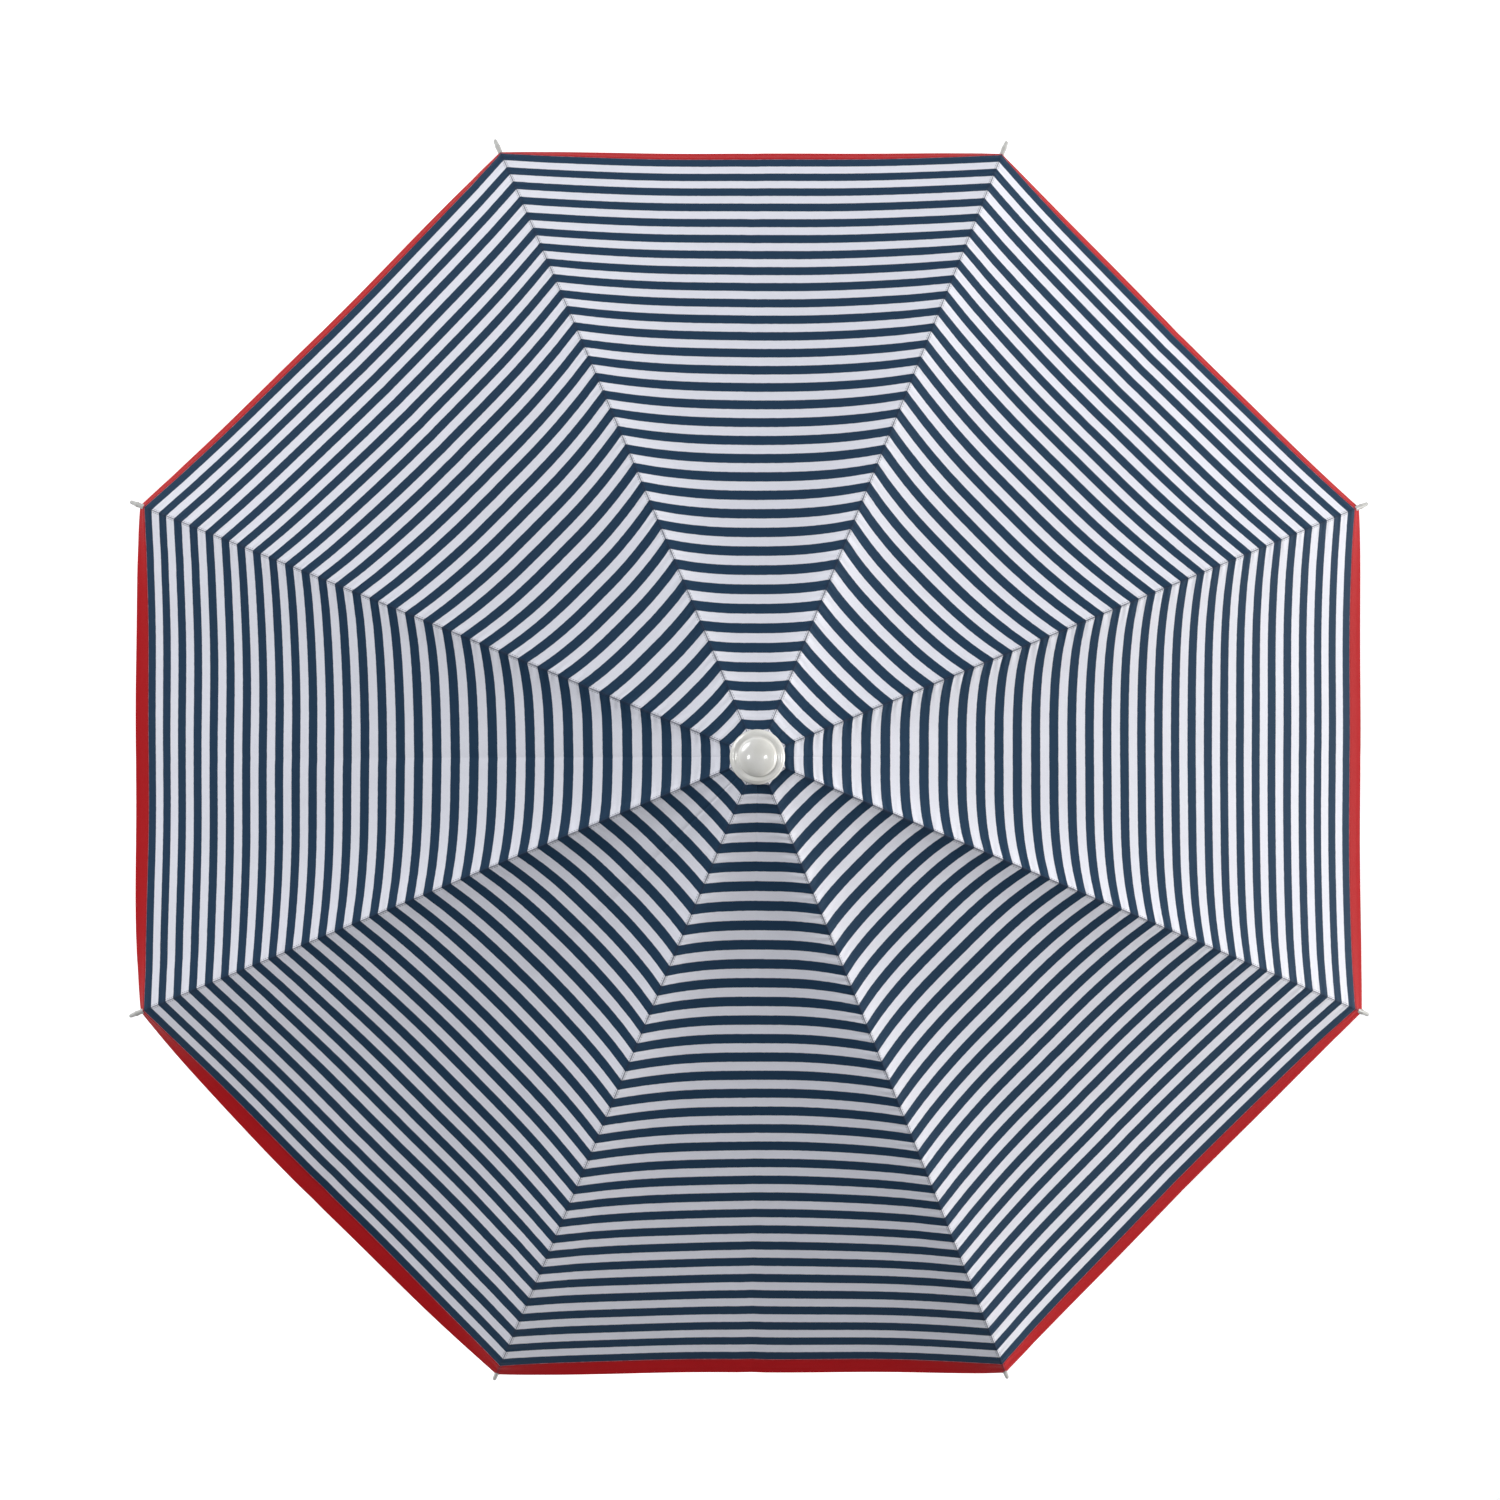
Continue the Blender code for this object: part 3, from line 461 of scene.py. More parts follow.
def cleaned(obj: bpy.types.Object, smooth_below: float = 35.0) -> bpy.types.Object:
    """Merges doubles, turns the faces outwards and shades a mesh.

    Args:
        obj: the object.
        smooth_below: the largest angle shaded smooth, in degrees.

    Returns:
        The same object.
    """
    only(obj)
    bpy.ops.object.mode_set(mode="EDIT")
    bpy.ops.mesh.select_all(action="SELECT")
    bpy.ops.mesh.remove_doubles(threshold=MERGE)
    bpy.ops.mesh.normals_make_consistent(inside=False)
    bpy.ops.object.mode_set(mode="OBJECT")
    bpy.ops.object.shade_smooth_by_angle(angle=math.radians(smooth_below))
    return obj


def baked(obj: bpy.types.Object, matrix: Matrix) -> bpy.types.Object:
    """Moves the mesh of an object that stays at the origin."""
    obj.data.transform(matrix)
    return obj


def turned(name: str, profile: Sequence[tuple[float, float]], steps: int = 64) -> bpy.types.Object:
    """Spins a profile round the vertical axis.

    Args:
        name: the piece's name.
        profile: (radius, height) from the top down, ending on the axis or closing on itself.
        steps: faces round the axis.

    Returns:
        The closed piece.
    """
    mesh = bpy.data.meshes.new(name)
    points = [(radius, 0.0, height) for radius, height in profile]
    mesh.from_pydata(points, [(i, i + 1) for i in range(len(points) - 1)], [])
    obj = linked(name, mesh)
    only(obj)
    bpy.ops.object.mode_set(mode="EDIT")
    bpy.ops.mesh.select_all(action="SELECT")
    bpy.ops.mesh.spin(steps=steps, angle=2.0 * math.pi, center=(0.0, 0.0, 0.0), axis=(0.0, 0.0, 1.0))
    bpy.ops.object.mode_set(mode="OBJECT")
    return cleaned(obj)


def swept(name: str, points: Sequence[Point], radii: Sequence[float], sides: int = 3) -> bpy.types.Object:
    """Sweeps a round section along points.

    Args:
        name: the piece's name.
        points: the route.
        radii: the section's radius at each point.
        sides: the bevel resolution, where 3 gives ten sides.

    Returns:
        The closed piece.
    """
    curve = bpy.data.curves.new(name, "CURVE")
    curve.dimensions = "3D"
    curve.bevel_depth = 1.0
    curve.bevel_resolution = sides
    curve.use_fill_caps = True
    spline = curve.splines.new("POLY")
    spline.points.add(len(points) - 1)
    for target, point, radius in zip(spline.points, points, radii):
        target.co = (*point, 1.0)
        target.radius = radius
    obj = linked(name, curve)
    only(obj)
    bpy.ops.object.convert(target="MESH")
    return cleaned(bpy.context.view_layer.objects.active)


def copied(obj: bpy.types.Object, name: str, matrix: Matrix) -> bpy.types.Object:
    """Returns a copy with its own mesh, moved by a matrix."""
    return baked(linked(name, obj.data.copy()), matrix)


def joined(pieces: Sequence[bpy.types.Object], name: str) -> bpy.types.Object:
    """Joins pieces into one object.

    Args:
        pieces: the objects, which end up in the first.
        name: the name of the result.

    Returns:
        The joined object.
    """
    bpy.ops.object.select_all(action="DESELECT")
    for piece in pieces:
        piece.select_set(True)
    bpy.context.view_layer.objects.active = pieces[0]
    bpy.ops.object.join()
    pieces[0].name = name
    return pieces[0]


def painted(obj: bpy.types.Object, material: bpy.types.Material) -> bpy.types.Object:
    """Gives a new piece its one material."""
    obj.data.materials.clear()
    obj.data.materials.append(material)
    return obj


def repaint(node: str, material: bpy.types.Material) -> None:
    """Puts a material in every slot of a CAD node."""
    for place in frame["nodes"][node].material_slots:
        place.link = "OBJECT"
        place.material = material


def joint(name: str) -> dict[str, Any]:
    """Returns a joint of the record by its name."""
    return next(row for row in frame["joints"] if row["name"] == name)


# ---- the canopy ------------------------------------------------------------------------------


@dataclass
class RibLine:
    """The line of a rib and of the cloth above it, seen from its hinge."""

    length: float = 0.885
    straight: float = 0.370
    inner_slope: float = math.radians(15.0)
    tip_slope: float = math.radians(39.5)
    count: int = 8
    hinge_r: float = field(init=False)
    crown_z: float = field(init=False)

    def __post_init__(self) -> None:
        """Takes the hinge's place from the record."""
        place = joint("rib_1_fold")["pos_m"]
        self.hinge_r = math.hypot(place[0], place[1])
        self.crown_z = place[2]

    @property
    def half_sector(self) -> float:
        """Half the angle between two ribs."""
        return math.pi / self.count

    def angle(self, number: int) -> float:
        """Returns the azimuth of a rib."""
        return (2 * number - 1) * self.half_sector

    def slope(self, along: float) -> float:
        """Returns how far the rib leans down at a distance along it."""
        share = max(along - self.straight, 0.0) / (self.length - self.straight)
        return self.inner_slope + (self.tip_slope - self.inner_slope) * share

    def point(self, along: float, lift: float = 0.0) -> tuple[float, float]:
        """The rib's line, or a line beside it.

        Args:
            along: distance along the rib from its hinge.
            lift: distance off it, square to it and upwards.

        Returns:
            The distance out from the hinge and the height above it.
        """
        inner = min(along, self.straight)
        out = inner * math.cos(self.inner_slope)
        up = -inner * math.sin(self.inner_slope)
        slope = self.slope(along)
        if along > self.straight:
            bend = (self.length - self.straight) / (self.tip_slope - self.inner_slope)
            out += bend * (math.sin(slope) - math.sin(self.inner_slope))
            up -= bend * (math.cos(self.inner_slope) - math.cos(slope))
        return out + lift * math.sin(slope), up + lift * math.cos(slope)

    def placed(self, along: float, lift: float, number: int) -> Point:
        """Returns a point by a numbered rib, in the umbrella's frame."""
        out, up = self.point(along, lift)
        reach = self.hinge_r + out
        angle = self.angle(number)
        return reach * math.cos(angle), reach * math.sin(angle), self.crown_z + up

    def flatten(self, piece: bpy.types.Object, number: int, joint_name: str, lift: float, keep: float) -> None:
        """Gives a piece its own copy of its mesh.

        Args:
            piece: the piece.
            number: the rib's number.
            joint_name: not used.
            lift: distance of the line off the rib.
            keep: not used.
        """
        angle = self.angle(number)
        self.placed(0.0, lift, number)
        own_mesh(piece)


@dataclass(frozen=True)
class GoreSet:
    """How the edge band of one gore hangs, and how slack its cloth is."""

    band_lean: float
    slack: float
    phase: float
    sag_hem: float = 0.0080
    taper: float = 5.0
    belly: float = 2.6


@dataclass
class Canopy:
    """The striped cloth: sixteen half gores whose edges meet, as one sheet."""

    line: RibLine
    cloth: StripedCloth
    thickness: float = 0.0005
    lift: float = 0.0052
    hole_r: float = 0.0217
    sag_middle: float = 0.016
    turn_over: float = 0.004
    kink_at: float = 0.17
    fold_width: float = 0.035
    kink_depth: float = 0.0009
    drift_height: float = 0.0012
    pull_height: float = 0.0008
    pleat_depth: float = 0.0005
    gather_height: float = 0.00035
    gather_pitch: float = 0.021
    rows: int = 110
    band_rows: int = 7
    columns: int = 22
    column_crowding: float = 1.25
    flat_area: float = 0.14113
    flat_width: float = 0.330
    flat_length: float = 0.905
    gores: tuple[GoreSet, ...] = (
        GoreSet(38.0, 0.9, 0.3, belly=4.0),
        GoreSet(64.0, 1.0, 1.7, taper=4.0),
        GoreSet(61.0, 0.8, 2.9, taper=4.0),
        GoreSet(63.0, 1.1, 4.1, taper=4.0),
        GoreSet(30.0, 1.5, 5.2, 0.0055, 3.0, 3.0),
        GoreSet(2.0, 1.3, 0.9, 0.0015, 1.8),
        GoreSet(26.0, 1.4, 2.2, 0.0095, 5.0),
        GoreSet(36.0, 1.0, 3.6, taper=3.0, belly=3.0),
    )
    corner_leans: tuple[float, ...] = (66.0, 78.0, 78.0, 68.0, 73.0, 50.0, 50.0, 56.0)
    creep_middle: tuple[Knot, ...] = ((-0.020, 0.0003), (0.207, -0.0093), (0.574, -0.0045), (0.780, -0.0092))
    creep_seam: tuple[Knot, ...] = ((0.001, 0.0005), (0.170, -0.0096), (0.540, 0.0005), (0.735, -0.0083))
    arcs: list[float] = field(default_factory=list)

    def gore_set(self, gore: int) -> GoreSet:
        """Returns the settings of a gore, whose number may be past a full turn."""
        return self.gores[gore % self.line.count]

    def hem_share(self, along: float) -> float:
        """Returns 0 at the hinge and 1 at the hem."""
        out = self.line.point(along, self.lift)[0]
        hem = self.line.point(self.line.length, self.lift)[0]
        return min(max(out / hem, 0.0), 1.0)

    def surface(self, gore: int, along: float, across: float) -> Vector:
        """A point of the cloth before its small folds.

        Args:
            gore: the gore's number, 0 on +X and anticlockwise.
            along: distance along the ribs.
            across: -1 to 1 between the two seams, anticlockwise.

        Returns:
            The point, for a gore that is centred on +X.
        """
        out, up = self.line.point(along, self.lift)
        reach = self.line.hinge_r + out
        share = self.hem_share(along)
        sag = self.gore_set(gore).sag_hem * share + self.sag_middle * math.sin(math.pi * share)
        drop = sag * (1.0 - abs(across) ** self.gore_set(gore).belly)
        slope = self.line.slope(along)
        half = self.line.half_sector
        x = reach * math.cos(half) - drop * math.sin(slope)
        return Vector((x, across * reach * math.sin(half), self.line.crown_z + up - drop * math.cos(slope)))

    def folds(self, gore: int, along: float, across: float) -> float:
        """Height of the soft folds, which die out at the seams.

        Args:
            gore: the gore's number, 0 on +X and anticlockwise.
            along: distance along the ribs.
            across: -1 to 1 between the seams.

        Returns:
            The height above the plain surface, in metres.
        """
        setting = self.gore_set(gore)
        hold = (1.0 - across**2) ** 0.8
        reach = self.hem_share(along)
        phase = setting.phase
        from_seam = 1.0 - abs(across)
        wave = 0.5 + 0.5 * math.sin(3.1 * along * 6.0 + phase)
        kink = math.exp(-(((from_seam - self.kink_at) / self.fold_width) ** 2)) * wave
        drift = math.sin(9.0 * along + 2.3 * across + phase) * math.sin(5.0 * across + 2.0 * phase)
        pull = math.sin(across * 9.0 + phase * 2.0 + 3.0 * along) * math.exp(-reach * 6.0) * reach * 3.0
        pleat = math.exp(-((across / self.fold_width) ** 2)) * (0.6 + 0.4 * math.sin(7.0 * along + phase))
        height = -self.kink_depth * kink + self.drift_height * drift * reach
        return setting.slack * hold * (height + self.pull_height * pull - self.pleat_depth * pleat)

    def puckers(self, rib: int, along: float, across: float) -> float:
        """Returns the height of the short gathers along a seam."""
        half_width = max(self.line.point(along)[0] * math.sin(self.line.half_sector), 0.001)
        span = (1.0 - abs(across)) * half_width
        gather = math.exp(-((span - 0.010) / 0.008) ** 2)
        wave = math.sin(along * 2.0 * math.pi / self.gather_pitch + rib * 1.3)
        return self.gather_height * gather * wave

    def band_lean(self, gore: int, across: float) -> float:
        """Returns how steeply the edge band hangs at a place across a gore."""
        clockwise = self.corner_leans[(gore - 1) % self.line.count]
        anticlockwise = self.corner_leans[gore % self.line.count]
        corner = clockwise if across < 0.0 else anticlockwise
        middle = self.gore_set(gore).band_lean
        share = abs(across) ** self.gore_set(gore).taper
        return math.radians(middle + (corner - middle) * share)

    def point(self, gore: int, along: float, across: float) -> Vector:
        """A point of the cloth as it hangs, for a gore centred on +X.

        Args:
            gore: the gore's number.
            along: distance along the ribs; the band is the last of it.
            across: -1 to 1 between the seams.

        Returns:
            The point.
        """
        band_from = self.line.length - self.cloth.band
        on_cloth = min(along, band_from)
        base = self.surface(gore, on_cloth, across)
        ahead = self.surface(gore, on_cloth + self.turn_over, across)
        out = (ahead - base).normalized()
        normal = Vector((-out.z, 0.0, out.x))
        rib = gore if across < 0.0 else gore + 1
        base += normal * (self.folds(gore, on_cloth, across) + self.puckers(rib, on_cloth, across))
        if along > band_from:
            over = along - band_from
            lean = self.band_lean(gore, across)
            natural = math.atan2(-out.z, out.x)
            turn = natural + (lean - natural) * min(over / self.turn_over, 1.0)
            wide = base.y / max(base.x, 0.001)
            step = Vector((math.cos(turn), 0.0, -math.sin(turn)))
            step.y = step.x * wide
            base += step * over
        return base

    def measure(self) -> None:
        """Works out how far each station is from the hem, down the middle of a gore."""
        stations = self.stations()
        lengths = [0.0]
        for first, second in zip(stations, stations[1:]):
            step = self.surface(0, second, 0.0) - self.surface(0, first, 0.0)
            lengths.append(lengths[-1] + step.length)
        self.arcs = [lengths[-1] - value for value in lengths]

    def stations(self) -> list[float]:
        """Returns the distances along the rib at which the cloth has a row of points."""
        first = (self.hole_r - self.line.hinge_r) / math.cos(self.line.inner_slope)
        band_from = self.line.length - self.cloth.band
        rows = [first + (band_from - first) * row / self.rows for row in range(self.rows + 1)]
        rows += [band_from + self.cloth.band * row / self.band_rows for row in range(1, self.band_rows + 1)]
        return rows

    def stripe_shift(self, gore: int, from_hem: float, across: float) -> float:
        """Works out how far the print has crept.

        Args:
            gore: the gore's number.
            from_hem: distance from the hem.
            across: -1 to 1 between the seams.

        Returns:
            The creep, in metres.
        """
        creep = []
        for knots in (self.creep_middle, self.creep_seam):
            value = knots[0][1]
            for (low, before), (high, after) in zip(knots, knots[1:]):
                share = min(max((from_hem - low) / (high - low), 0.0), 1.0)
                value += (after - before) * share * share * (3.0 - 2.0 * share)
            creep.append(value)
        return creep[0] + (creep[1] - creep[0]) * abs(across) ** self.gore_set(gore).belly

    def half_gore(self, number: int, side: Side) -> bpy.types.Object:
        """Builds one half gore.

        Args:
            number: the rib that it is sewn to.
            side: which way it lies from that rib.

        Returns:
            The piece, in place.
        """
        gore = number if side is Side.LEFT else number - 1
        turn = Matrix.Rotation(gore * 2.0 * self.line.half_sector, 4, "Z")
        stations = self.stations()
        columns = self.columns
        verts: list[Vector] = []
        stripes: list[tuple[float, float]] = []
        seams: list[tuple[float, float]] = []
        for row, along in enumerate(stations):
            hem_x = self.line.hinge_r + self.line.point(min(along, self.line.length))[0]
            for column in range(columns + 1):
                from_middle = 1.0 - (1.0 - column / columns) ** self.column_crowding
                across = -from_middle if side is Side.LEFT else from_middle
                spot = self.point(gore, along, across)
                verts.append(turn @ spot)
                from_hem = self.arcs[row]
                stripes.append((spot.y, from_hem + self.stripe_shift(gore, from_hem, across)))
                seams.append((abs(hem_x * math.sin(self.line.half_sector)) * (1.0 - abs(across)), along))
        faces = []
        for row in range(len(stations) - 1):
            for column in range(columns):
                corner = row * (columns + 1) + column
                face = (corner, corner + columns + 1, corner + columns + 2, corner + 1)
                faces.append(face if side is Side.RIGHT else face[::-1])
        mesh = bpy.data.meshes.new(f"cloth_{number}_{side.word}")
        mesh.from_pydata(verts, [], faces)
        for name, values in (("stripes", stripes), ("seam", seams)):
            layer = mesh.uv_layers.new(name=name)
            for loop in mesh.loops:
                layer.data[loop.index].uv = values[loop.vertex_index]
        obj = linked(mesh.name, mesh)
        applied(obj, "SOLIDIFY", thickness=self.thickness, offset=1.0, use_rim=True)
        only(obj)
        bpy.ops.object.shade_smooth_by_angle(angle=math.radians(50.0))
        return obj

    def dress(self) -> None:
        """Builds every half gore and hangs it on its rib."""
        self.measure()
        material = self.cloth.material("canopy cloth")
        for number in range(1, self.line.count + 1):
            for side in Side:
                piece = painted(self.half_gore(number, side), material)
                body = f"canopy_{number}_{side.word}"
                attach(piece, body)
                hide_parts(body)
                self.line.flatten(piece, number, f"{body}_fold", self.lift, SPRUNG_KEEP)
                log.info("%s: half gore of rib %d", piece.name, number)


# ---- ribs, seams and tips --------------------------------------------------------------------


@dataclass
class Ribs:
    """The eight sprung ribs with the seams above them and the tips at their ends."""

    line: RibLine
    canopy: Canopy
    rod_r: float = 0.0019
    cut_past: float = 0.002
    overhang: float = 0.004
    tip_out: float = 0.0145
    tip_overlap: float = 0.014
    tip_r: float = 0.0031
    tip_profile: tuple[Knot, ...] = (
        (0.0, 0.80), (0.02, 0.95), (0.10, 1.0), (0.42, 1.0), (0.46, 1.12), (0.52, 1.12),
        (0.56, 0.98), (0.80, 0.86), (0.90, 0.82), (0.955, 0.70), (0.985, 0.48), (1.0, 0.12),
    )
    spring_share: float = 0.97
    seam_from: float = 0.030
    seam_before_hem: float = 0.018
    seam_half_width: float = 0.0010
    seam_wave: float = 0.00035
    seam_stations: int = 80
    stations: int = 60

    def root(self, number: int) -> bpy.types.Object:
        """Builds the flattened root with its eye, and the lug for the stretcher.

        Args:
            number: the rib's number.

        Returns:
            The straight inner part of the rib, in place.
        """
        node = frame["nodes"][f"rib_{number}"]
        obj = copied(node, f"rib_rod_{number}", node.matrix_world)
        stops = (0.0, self.line.straight + self.cut_past)
        start, end = (Vector(self.line.placed(along, 0.0, number)) for along in stops)
        only(obj)
        bpy.ops.object.mode_set(mode="EDIT")
        bpy.ops.mesh.select_all(action="SELECT")
        bpy.ops.mesh.remove_doubles(threshold=MERGE)
        bpy.ops.mesh.select_all(action="SELECT")
        bpy.ops.mesh.bisect(plane_co=end, plane_no=end - start, use_fill=True, clear_outer=True)
        bpy.ops.object.mode_set(mode="OBJECT")
        return cleaned(obj)

    def outer(self, number: int) -> bpy.types.Object:
        """Returns the curved outer part of the rib, in place."""
        end = self.line.length + self.overhang
        start = self.line.straight
        steps = [start + (end - start) * i / self.stations for i in range(self.stations + 1)]
        points = [self.line.placed(a, 0.0, number) for a in steps]
        return swept(f"rib_spring_{number}", points, [self.rod_r * self.spring_share] * len(points))

    def seam(self, number: int) -> bpy.types.Object:
        """Returns the sewn seam allowance that stands between the cloth and the rib."""
        top = self.canopy.lift + 0.0001
        low = self.rod_r + 0.0002
        end = self.line.length - self.seam_before_hem
        count = self.seam_stations
        steps = [self.seam_from + (end - self.seam_from) * i / count for i in range(count + 1)]
        wide = self.seam_half_width
        side = Vector((-math.sin(self.line.angle(number)), math.cos(self.line.angle(number)), 0.0))
        verts: list[Vector] = []
        for step, along in enumerate(steps):
            wave = self.seam_wave * math.sin(step * 1.9 + number)
            for lift, sway in ((top, 0.0), (low, wave)):
                base = Vector(self.line.placed(along, lift, number)) + side * sway
                verts += [base - side * wide, base + side * wide]
        faces = []
        for step in range(len(steps) - 1):
            a = 4 * step
            b = a + 4
            faces += [(a, a + 1, b + 1, b), (a + 1, a + 3, b + 3, b + 1)]
            faces += [(a + 3, a + 2, b + 2, b + 3), (a + 2, a, b, b + 2)]
        last = 4 * (len(steps) - 1)
        faces += [(0, 2, 3, 1), (last, last + 1, last + 3, last + 2)]
        mesh = bpy.data.meshes.new(f"seam_{number}")
        mesh.from_pydata(verts, [], faces)
        return cleaned(linked(mesh.name, mesh), 60.0)

    def tip(self, number: int) -> bpy.types.Object:
        """Returns the moulded tip, a tapered sleeve with a round end."""
        start = self.line.length - self.tip_overlap
        end = self.line.length + self.tip_out
        low = Vector(self.line.placed(start, 0.0, number))
        high = Vector(self.line.placed(end, 0.0, number))
        points = [tuple(low.lerp(high, share)) for share, _ in self.tip_profile]
        return swept(f"tip_{number}", points, [self.tip_r * size for _, size in self.tip_profile], 6)

    def dress(self) -> None:
        """Builds the ribs, seams and tips and joins them to their bodies."""
        steel = Steel((0.66, 0.67, 0.69), 0.32).material("rib steel")
        thread = MouldedPlastic((0.030, 0.045, 0.085), 0.85, 5200.0).material("seam allowance")
        pale = MouldedPlastic((0.46, 0.46, 0.44), 0.34).material("tip plastic")
        for number in range(1, self.line.count + 1):
            body = f"rib_{number}"
            fold = f"rib_{number}_fold"
            root, outer, seam, tip = (make(number) for make in (self.root, self.outer, self.seam, self.tip))
            parts = (
                (root, steel, "rib_steel", 1.0),
                (outer, steel, "rib_steel", SPRUNG_KEEP),
                (seam, thread, "canopy_cloth", SPRUNG_KEEP),
                (tip, pale, "pale_plastic", SPRUNG_KEEP),
            )
            for piece, material, slot, keep in parts:
                painted(piece, material)
                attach(piece, body)
                if keep < 1.0:
                    self.line.flatten(piece, number, fold, 0.0, keep)
                log.info("%s: on rib %d", piece.name, number)
            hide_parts(f"rib_tip_{number}")
            repaint(f"stretcher_{number}", steel)
            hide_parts(f"rib_{number}")


# ---- the crown -------------------------------------------------------------------------------


@dataclass
class Crown:
    """The cap on top of the cloth, the notched hub and the ring that holds the ribs."""

    dome_share: float = 0.70
    height: float = 0.0135
    shoulder_height: float = 0.0064
    rim_round: float = 0.0042
    dish: float = 0.0012
    groove: tuple[Knot, ...] = (
        (1.005, 0.0001), (1.02, -0.0006), (1.05, -0.0008), (1.10, -0.0005), (1.18, -0.0001), (1.27, -0.0005),
    )

    def cap(self) -> bpy.types.Object:
        """Returns the cap, a shallow dish with a dome in its middle."""
        low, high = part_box("crown_cap")
        radius = (high[0] - low[0]) / 2.0
        top = high[2]
        base = top - self.height
        dome_r = radius * self.dome_share
        shoulder = base + self.shoulder_height
        profile: list[tuple[float, float]] = []
        for step in range(17):
            angle = math.radians(90.0 - step * 5.0)
            profile.append((dome_r * 0.985 * math.cos(angle), shoulder + (top - shoulder) * math.sin(angle)))
        profile += [(dome_r * share, shoulder + rise) for share, rise in self.groove]
        edge = self.rim_round
        for step in range(1, 9):
            angle = math.radians(90.0 - step * 11.25)
            profile.append((radius - edge + edge * math.cos(angle), base + self.dish + edge * math.sin(angle)))
        profile += [(radius - 0.0004, base + 0.0003), (radius - 0.0012, base), (radius - 0.0030, base + 0.0006)]
        profile += [(dome_r * 0.5, base + self.dish), (0.0, base + self.dish)]
        return turned("cap", profile, 96)

    def dress(self) -> None:
        """Builds the cap and finishes the hub and ring."""
        pearl = Pearl().material("cap pearl")
        cap = painted(self.cap(), pearl)
        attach(cap, "upper")
        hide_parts("crown_cap")
        repaint("crown_hub", MouldedPlastic((0.52, 0.525, 0.53)).material("hub plastic"))
        repaint("crown_wire", Steel((0.58, 0.59, 0.61), 0.26).material("ring wire"))
        log.info("cap, hub and ring finished")


# ---- the mast --------------------------------------------------------------------------------


@dataclass
class Mast:
    """The poles, runner, tilt joint, clamp and spike."""

    painted_nodes: tuple[str, ...] = ("upper_pole", "middle_pole", "lower_pole")
    moulded_nodes: tuple[str, ...] = ("tilt_socket", "tilt_head", "clamp_collar")
    button_nodes: tuple[str, ...] = ("runner_button", "tilt_button", "clamp_knob")

    def spring(self) -> bpy.types.Object:
        """Returns the coil spring behind the tilt button, in place."""
        node = frame["nodes"]["tilt_button_spring"]
        return cleaned(copied(node, "button_spring", node.matrix_world), 50.0)

    def dress(self) -> None:
        """Finishes every part of the mast."""
        paint = PolePaint().material("pole paint")
        joint_plastic = MouldedPlastic((0.50, 0.505, 0.51), 0.38).material("joint plastic")
        navy = MouldedPlastic((0.030, 0.060, 0.125), 0.36).material("button plastic")
        groups = (self.painted_nodes, self.moulded_nodes, self.button_nodes)
        for names, material in zip(groups, (paint, joint_plastic, navy)):
            for name in names:
                repaint(name, material)
        repaint("runner", MouldedPlastic((0.52, 0.525, 0.53), 0.40).material("runner plastic"))
        repaint("ground_spike", MouldedPlastic((0.46, 0.465, 0.47), 0.50, 1500.0, 0.2).material("spike plastic"))
        repaint("tilt_pin", Steel((0.56, 0.57, 0.59), 0.24).material("pin steel"))
        spring = painted(self.spring(), Steel((0.50, 0.51, 0.53), 0.30).material("spring steel"))
        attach(spring, "upper")
        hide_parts("tilt_button_spring")
        press = joint("tilt_button_press")
        low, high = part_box("tilt_button_spring")
        keep = 1.0 - press["range_m"][1] / (high[1] - low[1])
        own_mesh(spring)
        log.info("mast finished")


# ---- the studio ------------------------------------------------------------------------------


@dataclass(frozen=True)
class Lamp:
    """A distant lamp: its direction and width in degrees, its strength and its colour."""

    azimuth: float
    height: float
    energy: float
    width: float
    colour: Colour


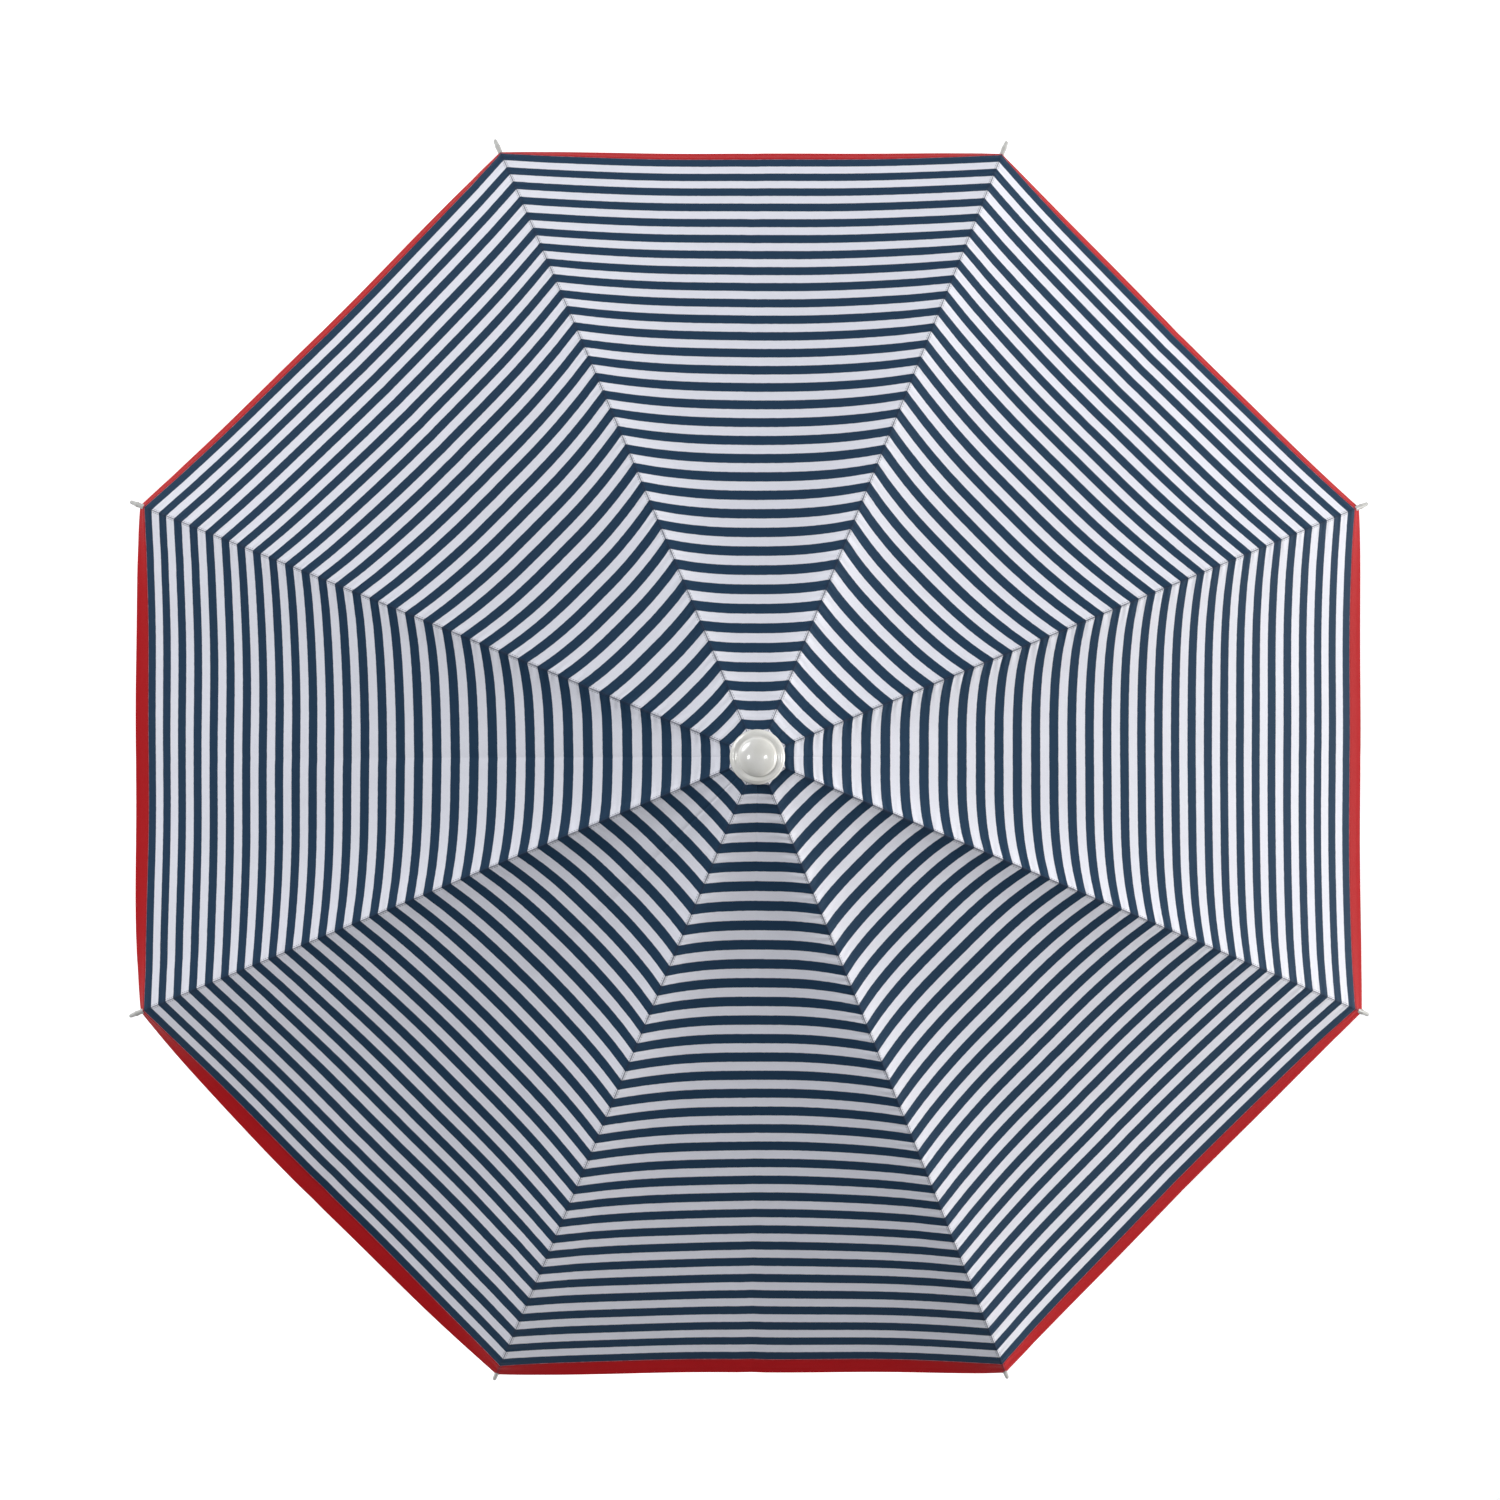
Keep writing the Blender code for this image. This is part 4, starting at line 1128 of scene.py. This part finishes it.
@dataclass
class Studio:
    """Floor, light and camera."""

    distance: float = 5.0
    hem_z: float = 1.67
    lens: float = 95.6
    aim: tuple[float, float] = (-0.0016, 0.0112)
    lean: tuple[float, float] = (-0.107, -0.035)
    fill: float = 0.11
    seen_sky: float = 0.97
    floor_size: float = 60.0
    floor_gap: float = 0.0005
    lamps: tuple[Lamp, ...] = (
        Lamp(0.0, 72.0, 0.26, 7.0, (1.0, 1.0, 1.0)),
        Lamp(180.0, 72.0, 0.26, 7.0, (1.0, 1.0, 1.0)),
        Lamp(-1.0, 5.0, 4.0, 24.0, (1.0, 0.985, 0.96)),
        Lamp(138.0, 35.0, 2.35, 34.0, (0.98, 0.985, 1.0)),
    )

    def floor(self) -> None:
        """Lays a large pale floor under the spike."""
        below = CAD_BOX[0][2] - self.floor_gap
        bpy.ops.mesh.primitive_plane_add(size=self.floor_size, location=(0.0, 0.0, below))
        plane = bpy.context.active_object
        plane.name = "floor"
        g = ShaderGraph("floor")
        grain = g.noise(g.place(), 3.0, 2.0)
        g.set(Base_Color=g.blend(grain, (0.90, 0.90, 0.90), (0.93, 0.93, 0.93)), Roughness=0.9)
        g.set(Specular_IOR_Level=0.1, Emission_Color=(1.0, 1.0, 1.0, 1.0), Emission_Strength=0.50)
        plane.data.materials.append(g.material)

    def lights(self) -> None:
        """Sets an even sky, a pair of lamps overhead and two wide ones, low right and far left."""
        world = bpy.data.worlds.new("studio")
        world.use_nodes = True
        tree = world.node_tree
        lit = tree.nodes["Background"]
        lit.inputs["Color"].default_value = (0.90, 0.93, 1.0, 1.0)
        lit.inputs["Strength"].default_value = self.fill
        seen = tree.nodes.new("ShaderNodeBackground")
        seen.inputs["Color"].default_value = (0.97, 0.98, 1.0, 1.0)
        seen.inputs["Strength"].default_value = self.seen_sky
        path = tree.nodes.new("ShaderNodeLightPath")
        mix = tree.nodes.new("ShaderNodeMixShader")
        tree.links.new(path.outputs["Is Camera Ray"], mix.inputs[0])
        tree.links.new(lit.outputs[0], mix.inputs[1])
        tree.links.new(seen.outputs[0], mix.inputs[2])
        tree.links.new(mix.outputs[0], tree.nodes["World Output"].inputs[0])
        bpy.context.scene.world = world
        for number, setting in enumerate(self.lamps, 1):
            sun = bpy.data.lights.new(f"lamp_{number}", "SUN")
            sun.energy = setting.energy
            sun.angle = math.radians(setting.width)
            sun.color = setting.colour
            lamp = linked(sun.name, sun)
            turn, rise = math.radians(setting.azimuth), math.radians(setting.height)
            towards = Vector((math.cos(rise) * math.cos(turn), math.cos(rise) * math.sin(turn), math.sin(rise)))
            lamp.rotation_euler = towards.to_track_quat("Z", "Y").to_euler()

    def camera(self) -> None:
        """Puts the camera above the canopy, a little off its axis."""
        data = bpy.data.cameras.new("camera")
        data.lens = self.lens
        data.sensor_width = 36.0
        data.clip_end = 100.0
        obj = linked("camera", data)
        obj.location = (self.lean[0], self.lean[1], self.hem_z + self.distance)
        target = Vector((self.aim[0], self.aim[1], self.hem_z))
        view = (target - obj.location).normalized()
        right = view.cross(Vector((0.0, 1.0, 0.0))).normalized()
        up = right.cross(view)
        turn = Matrix((right, up, -view)).transposed()
        obj.rotation_euler = turn.to_euler()
        bpy.context.scene.camera = obj

    def dress(self) -> None:
        """Sets the whole studio."""
        self.floor()
        self.lights()
        self.camera()
        bpy.context.scene.view_settings.view_transform = "Standard"
        log.info("studio set")


def main() -> None:
    """Builds every piece in order."""
    line = RibLine()
    canopy = Canopy(line, StripedCloth())
    for part in (Ribs(line, canopy), canopy, Crown(), Mast(), Studio()):
        log.info("building %s", type(part).__name__)
        part.dress()


if __name__ == "__main__":
    main()
